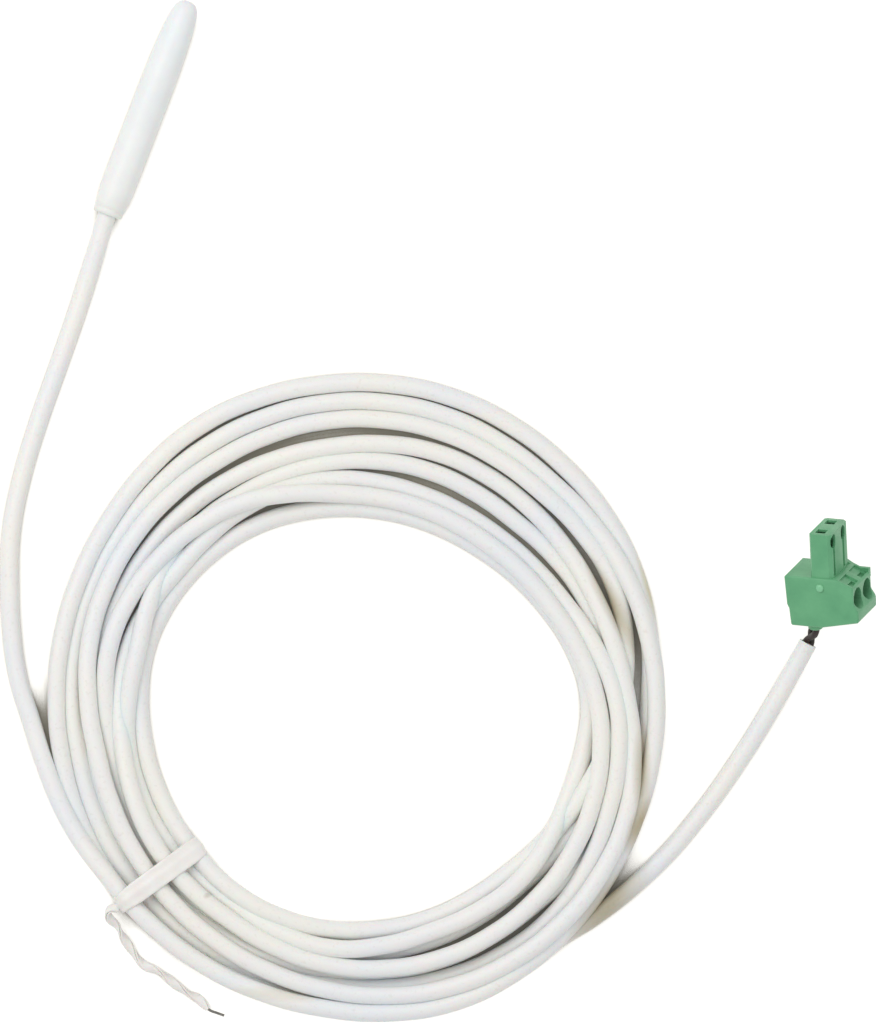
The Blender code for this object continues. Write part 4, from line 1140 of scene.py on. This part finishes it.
def floor_material():
    """White floor that shows as white paper, with painted shade close to what lies on it, and still
    takes a faint shadow.
    """
    made = bpy.data.materials.new("floor_paper")
    made.use_nodes = True
    nodes = made.node_tree.nodes
    links = made.node_tree.links
    nodes.clear()
    out = nodes.new("ShaderNodeOutputMaterial")
    path = nodes.new("ShaderNodeLightPath")
    seen = nodes.new("ShaderNodeMath")
    seen.operation = "MAXIMUM"
    links.new(path.outputs["Is Camera Ray"], seen.inputs[0])
    links.new(path.outputs["Is Glossy Ray"], seen.inputs[1])
    clear = nodes.new("ShaderNodeMath")
    clear.operation = "MAXIMUM"
    links.new(seen.outputs["Value"], clear.inputs[0])
    links.new(path.outputs["Is Transmission Ray"], clear.inputs[1])
    paper = nodes.new("ShaderNodeBsdfDiffuse")
    paper.inputs["Color"].default_value = FLOOR_PAPER
    shown = nodes.new("ShaderNodeBsdfDiffuse")
    shown.inputs["Color"].default_value = FLOOR_SHOWN
    # Painted shade: the glow dims where ambient occlusion is deep, close to what lies on the floor
    open_sky = nodes.new("ShaderNodeAmbientOcclusion")
    open_sky.inputs["Distance"].default_value = SHADOW_REACH
    strength = nodes.new("ShaderNodeMapRange")
    strength.inputs["From Min"].default_value = SHADOW_OPENNESS[0]
    strength.inputs["From Max"].default_value = SHADOW_OPENNESS[1]
    strength.inputs["To Min"].default_value = SHADOW_GLOW[0]
    strength.inputs["To Max"].default_value = SHADOW_GLOW[1]
    links.new(open_sky.outputs["AO"], strength.inputs["Value"])
    glow = nodes.new("ShaderNodeEmission")
    links.new(strength.outputs["Result"], glow.inputs["Strength"])
    lit = nodes.new("ShaderNodeAddShader")
    links.new(shown.outputs["BSDF"], lit.inputs[0])
    links.new(glow.outputs["Emission"], lit.inputs[1])
    mix = nodes.new("ShaderNodeMixShader")
    links.new(clear.outputs["Value"], mix.inputs["Fac"])
    links.new(paper.outputs["BSDF"], mix.inputs[1])
    links.new(lit.outputs["Shader"], mix.inputs[2])
    links.new(mix.outputs["Shader"], out.inputs["Surface"])
    return made


def make_floor():
    """The sheet that the probe lies on."""
    half = FLOOR_SIZE / 2
    mesh = bpy.data.meshes.new("floor")
    corners = [(-half, -half, 0), (half, -half, 0), (half, half, 0), (-half, half, 0)]
    mesh.from_pydata(corners, [], [(0, 1, 2, 3)])
    mesh.materials.append(floor_material())
    floor = link(bpy.data.objects.new("floor", mesh))
    floor.location = TABLE @ Vector((*VIEW_MIDDLE, FLOOR_LEVEL))
    floor.rotation_euler = Euler((0, 0, TABLE_TURN))


def make_world():
    """An even white surround."""
    world = bpy.data.worlds.new("surround")
    world.use_nodes = True
    nodes = world.node_tree.nodes
    links = world.node_tree.links
    nodes.clear()
    out = nodes.new("ShaderNodeOutputWorld")
    path = nodes.new("ShaderNodeLightPath")
    soft = nodes.new("ShaderNodeBackground")
    soft.inputs["Strength"].default_value = SURROUND
    white = nodes.new("ShaderNodeBackground")
    white.inputs["Strength"].default_value = BACKDROP
    mix = nodes.new("ShaderNodeMixShader")
    links.new(path.outputs["Is Camera Ray"], mix.inputs["Fac"])
    links.new(soft.outputs["Background"], mix.inputs[1])
    links.new(white.outputs["Background"], mix.inputs[2])
    links.new(mix.outputs["Shader"], out.inputs["Surface"])
    bpy.context.scene.world = world


def make_light(name, place, size, power):
    """A soft square light aimed at the middle of the view."""
    light = bpy.data.lights.new(name, "AREA")
    light.size = size
    light.energy = power
    made = link(bpy.data.objects.new(name, light))
    middle = TABLE @ Vector((*VIEW_MIDDLE, 0))
    made.location = TABLE @ Vector(place)
    made.rotation_euler = (middle - made.location).to_track_quat("-Z", "Y").to_euler()


def make_camera():
    """Straight down on the table, from far enough that nothing leans."""
    camera = bpy.data.cameras.new("camera")
    camera.type = "PERSP"
    camera.sensor_fit = "VERTICAL"
    camera.sensor_height = SENSOR
    camera.lens = SENSOR * CAMERA_HEIGHT / VIEW_HEIGHT
    camera.clip_end = CAMERA_REACH
    made = link(bpy.data.objects.new("camera", camera))
    made.location = TABLE @ Vector((*VIEW_MIDDLE, CAMERA_HEIGHT))
    made.rotation_euler = Euler((0, 0, TABLE_TURN))
    bpy.context.scene.camera = made


def main():
    """Dresses the probe and sets it on a white sheet."""
    bpy.context.scene.view_settings.view_transform = "Standard"
    make_camera()
    finishes = make_finishes()
    lead = make_lead(finishes, make_plug(finishes))
    make_tie(finishes, lead)
    make_capsule(finishes)
    finish_cad(finishes)
    make_floor()
    make_world()
    for name, place, size, power in LAMPS:
        make_light(name, place, size, power)


main()
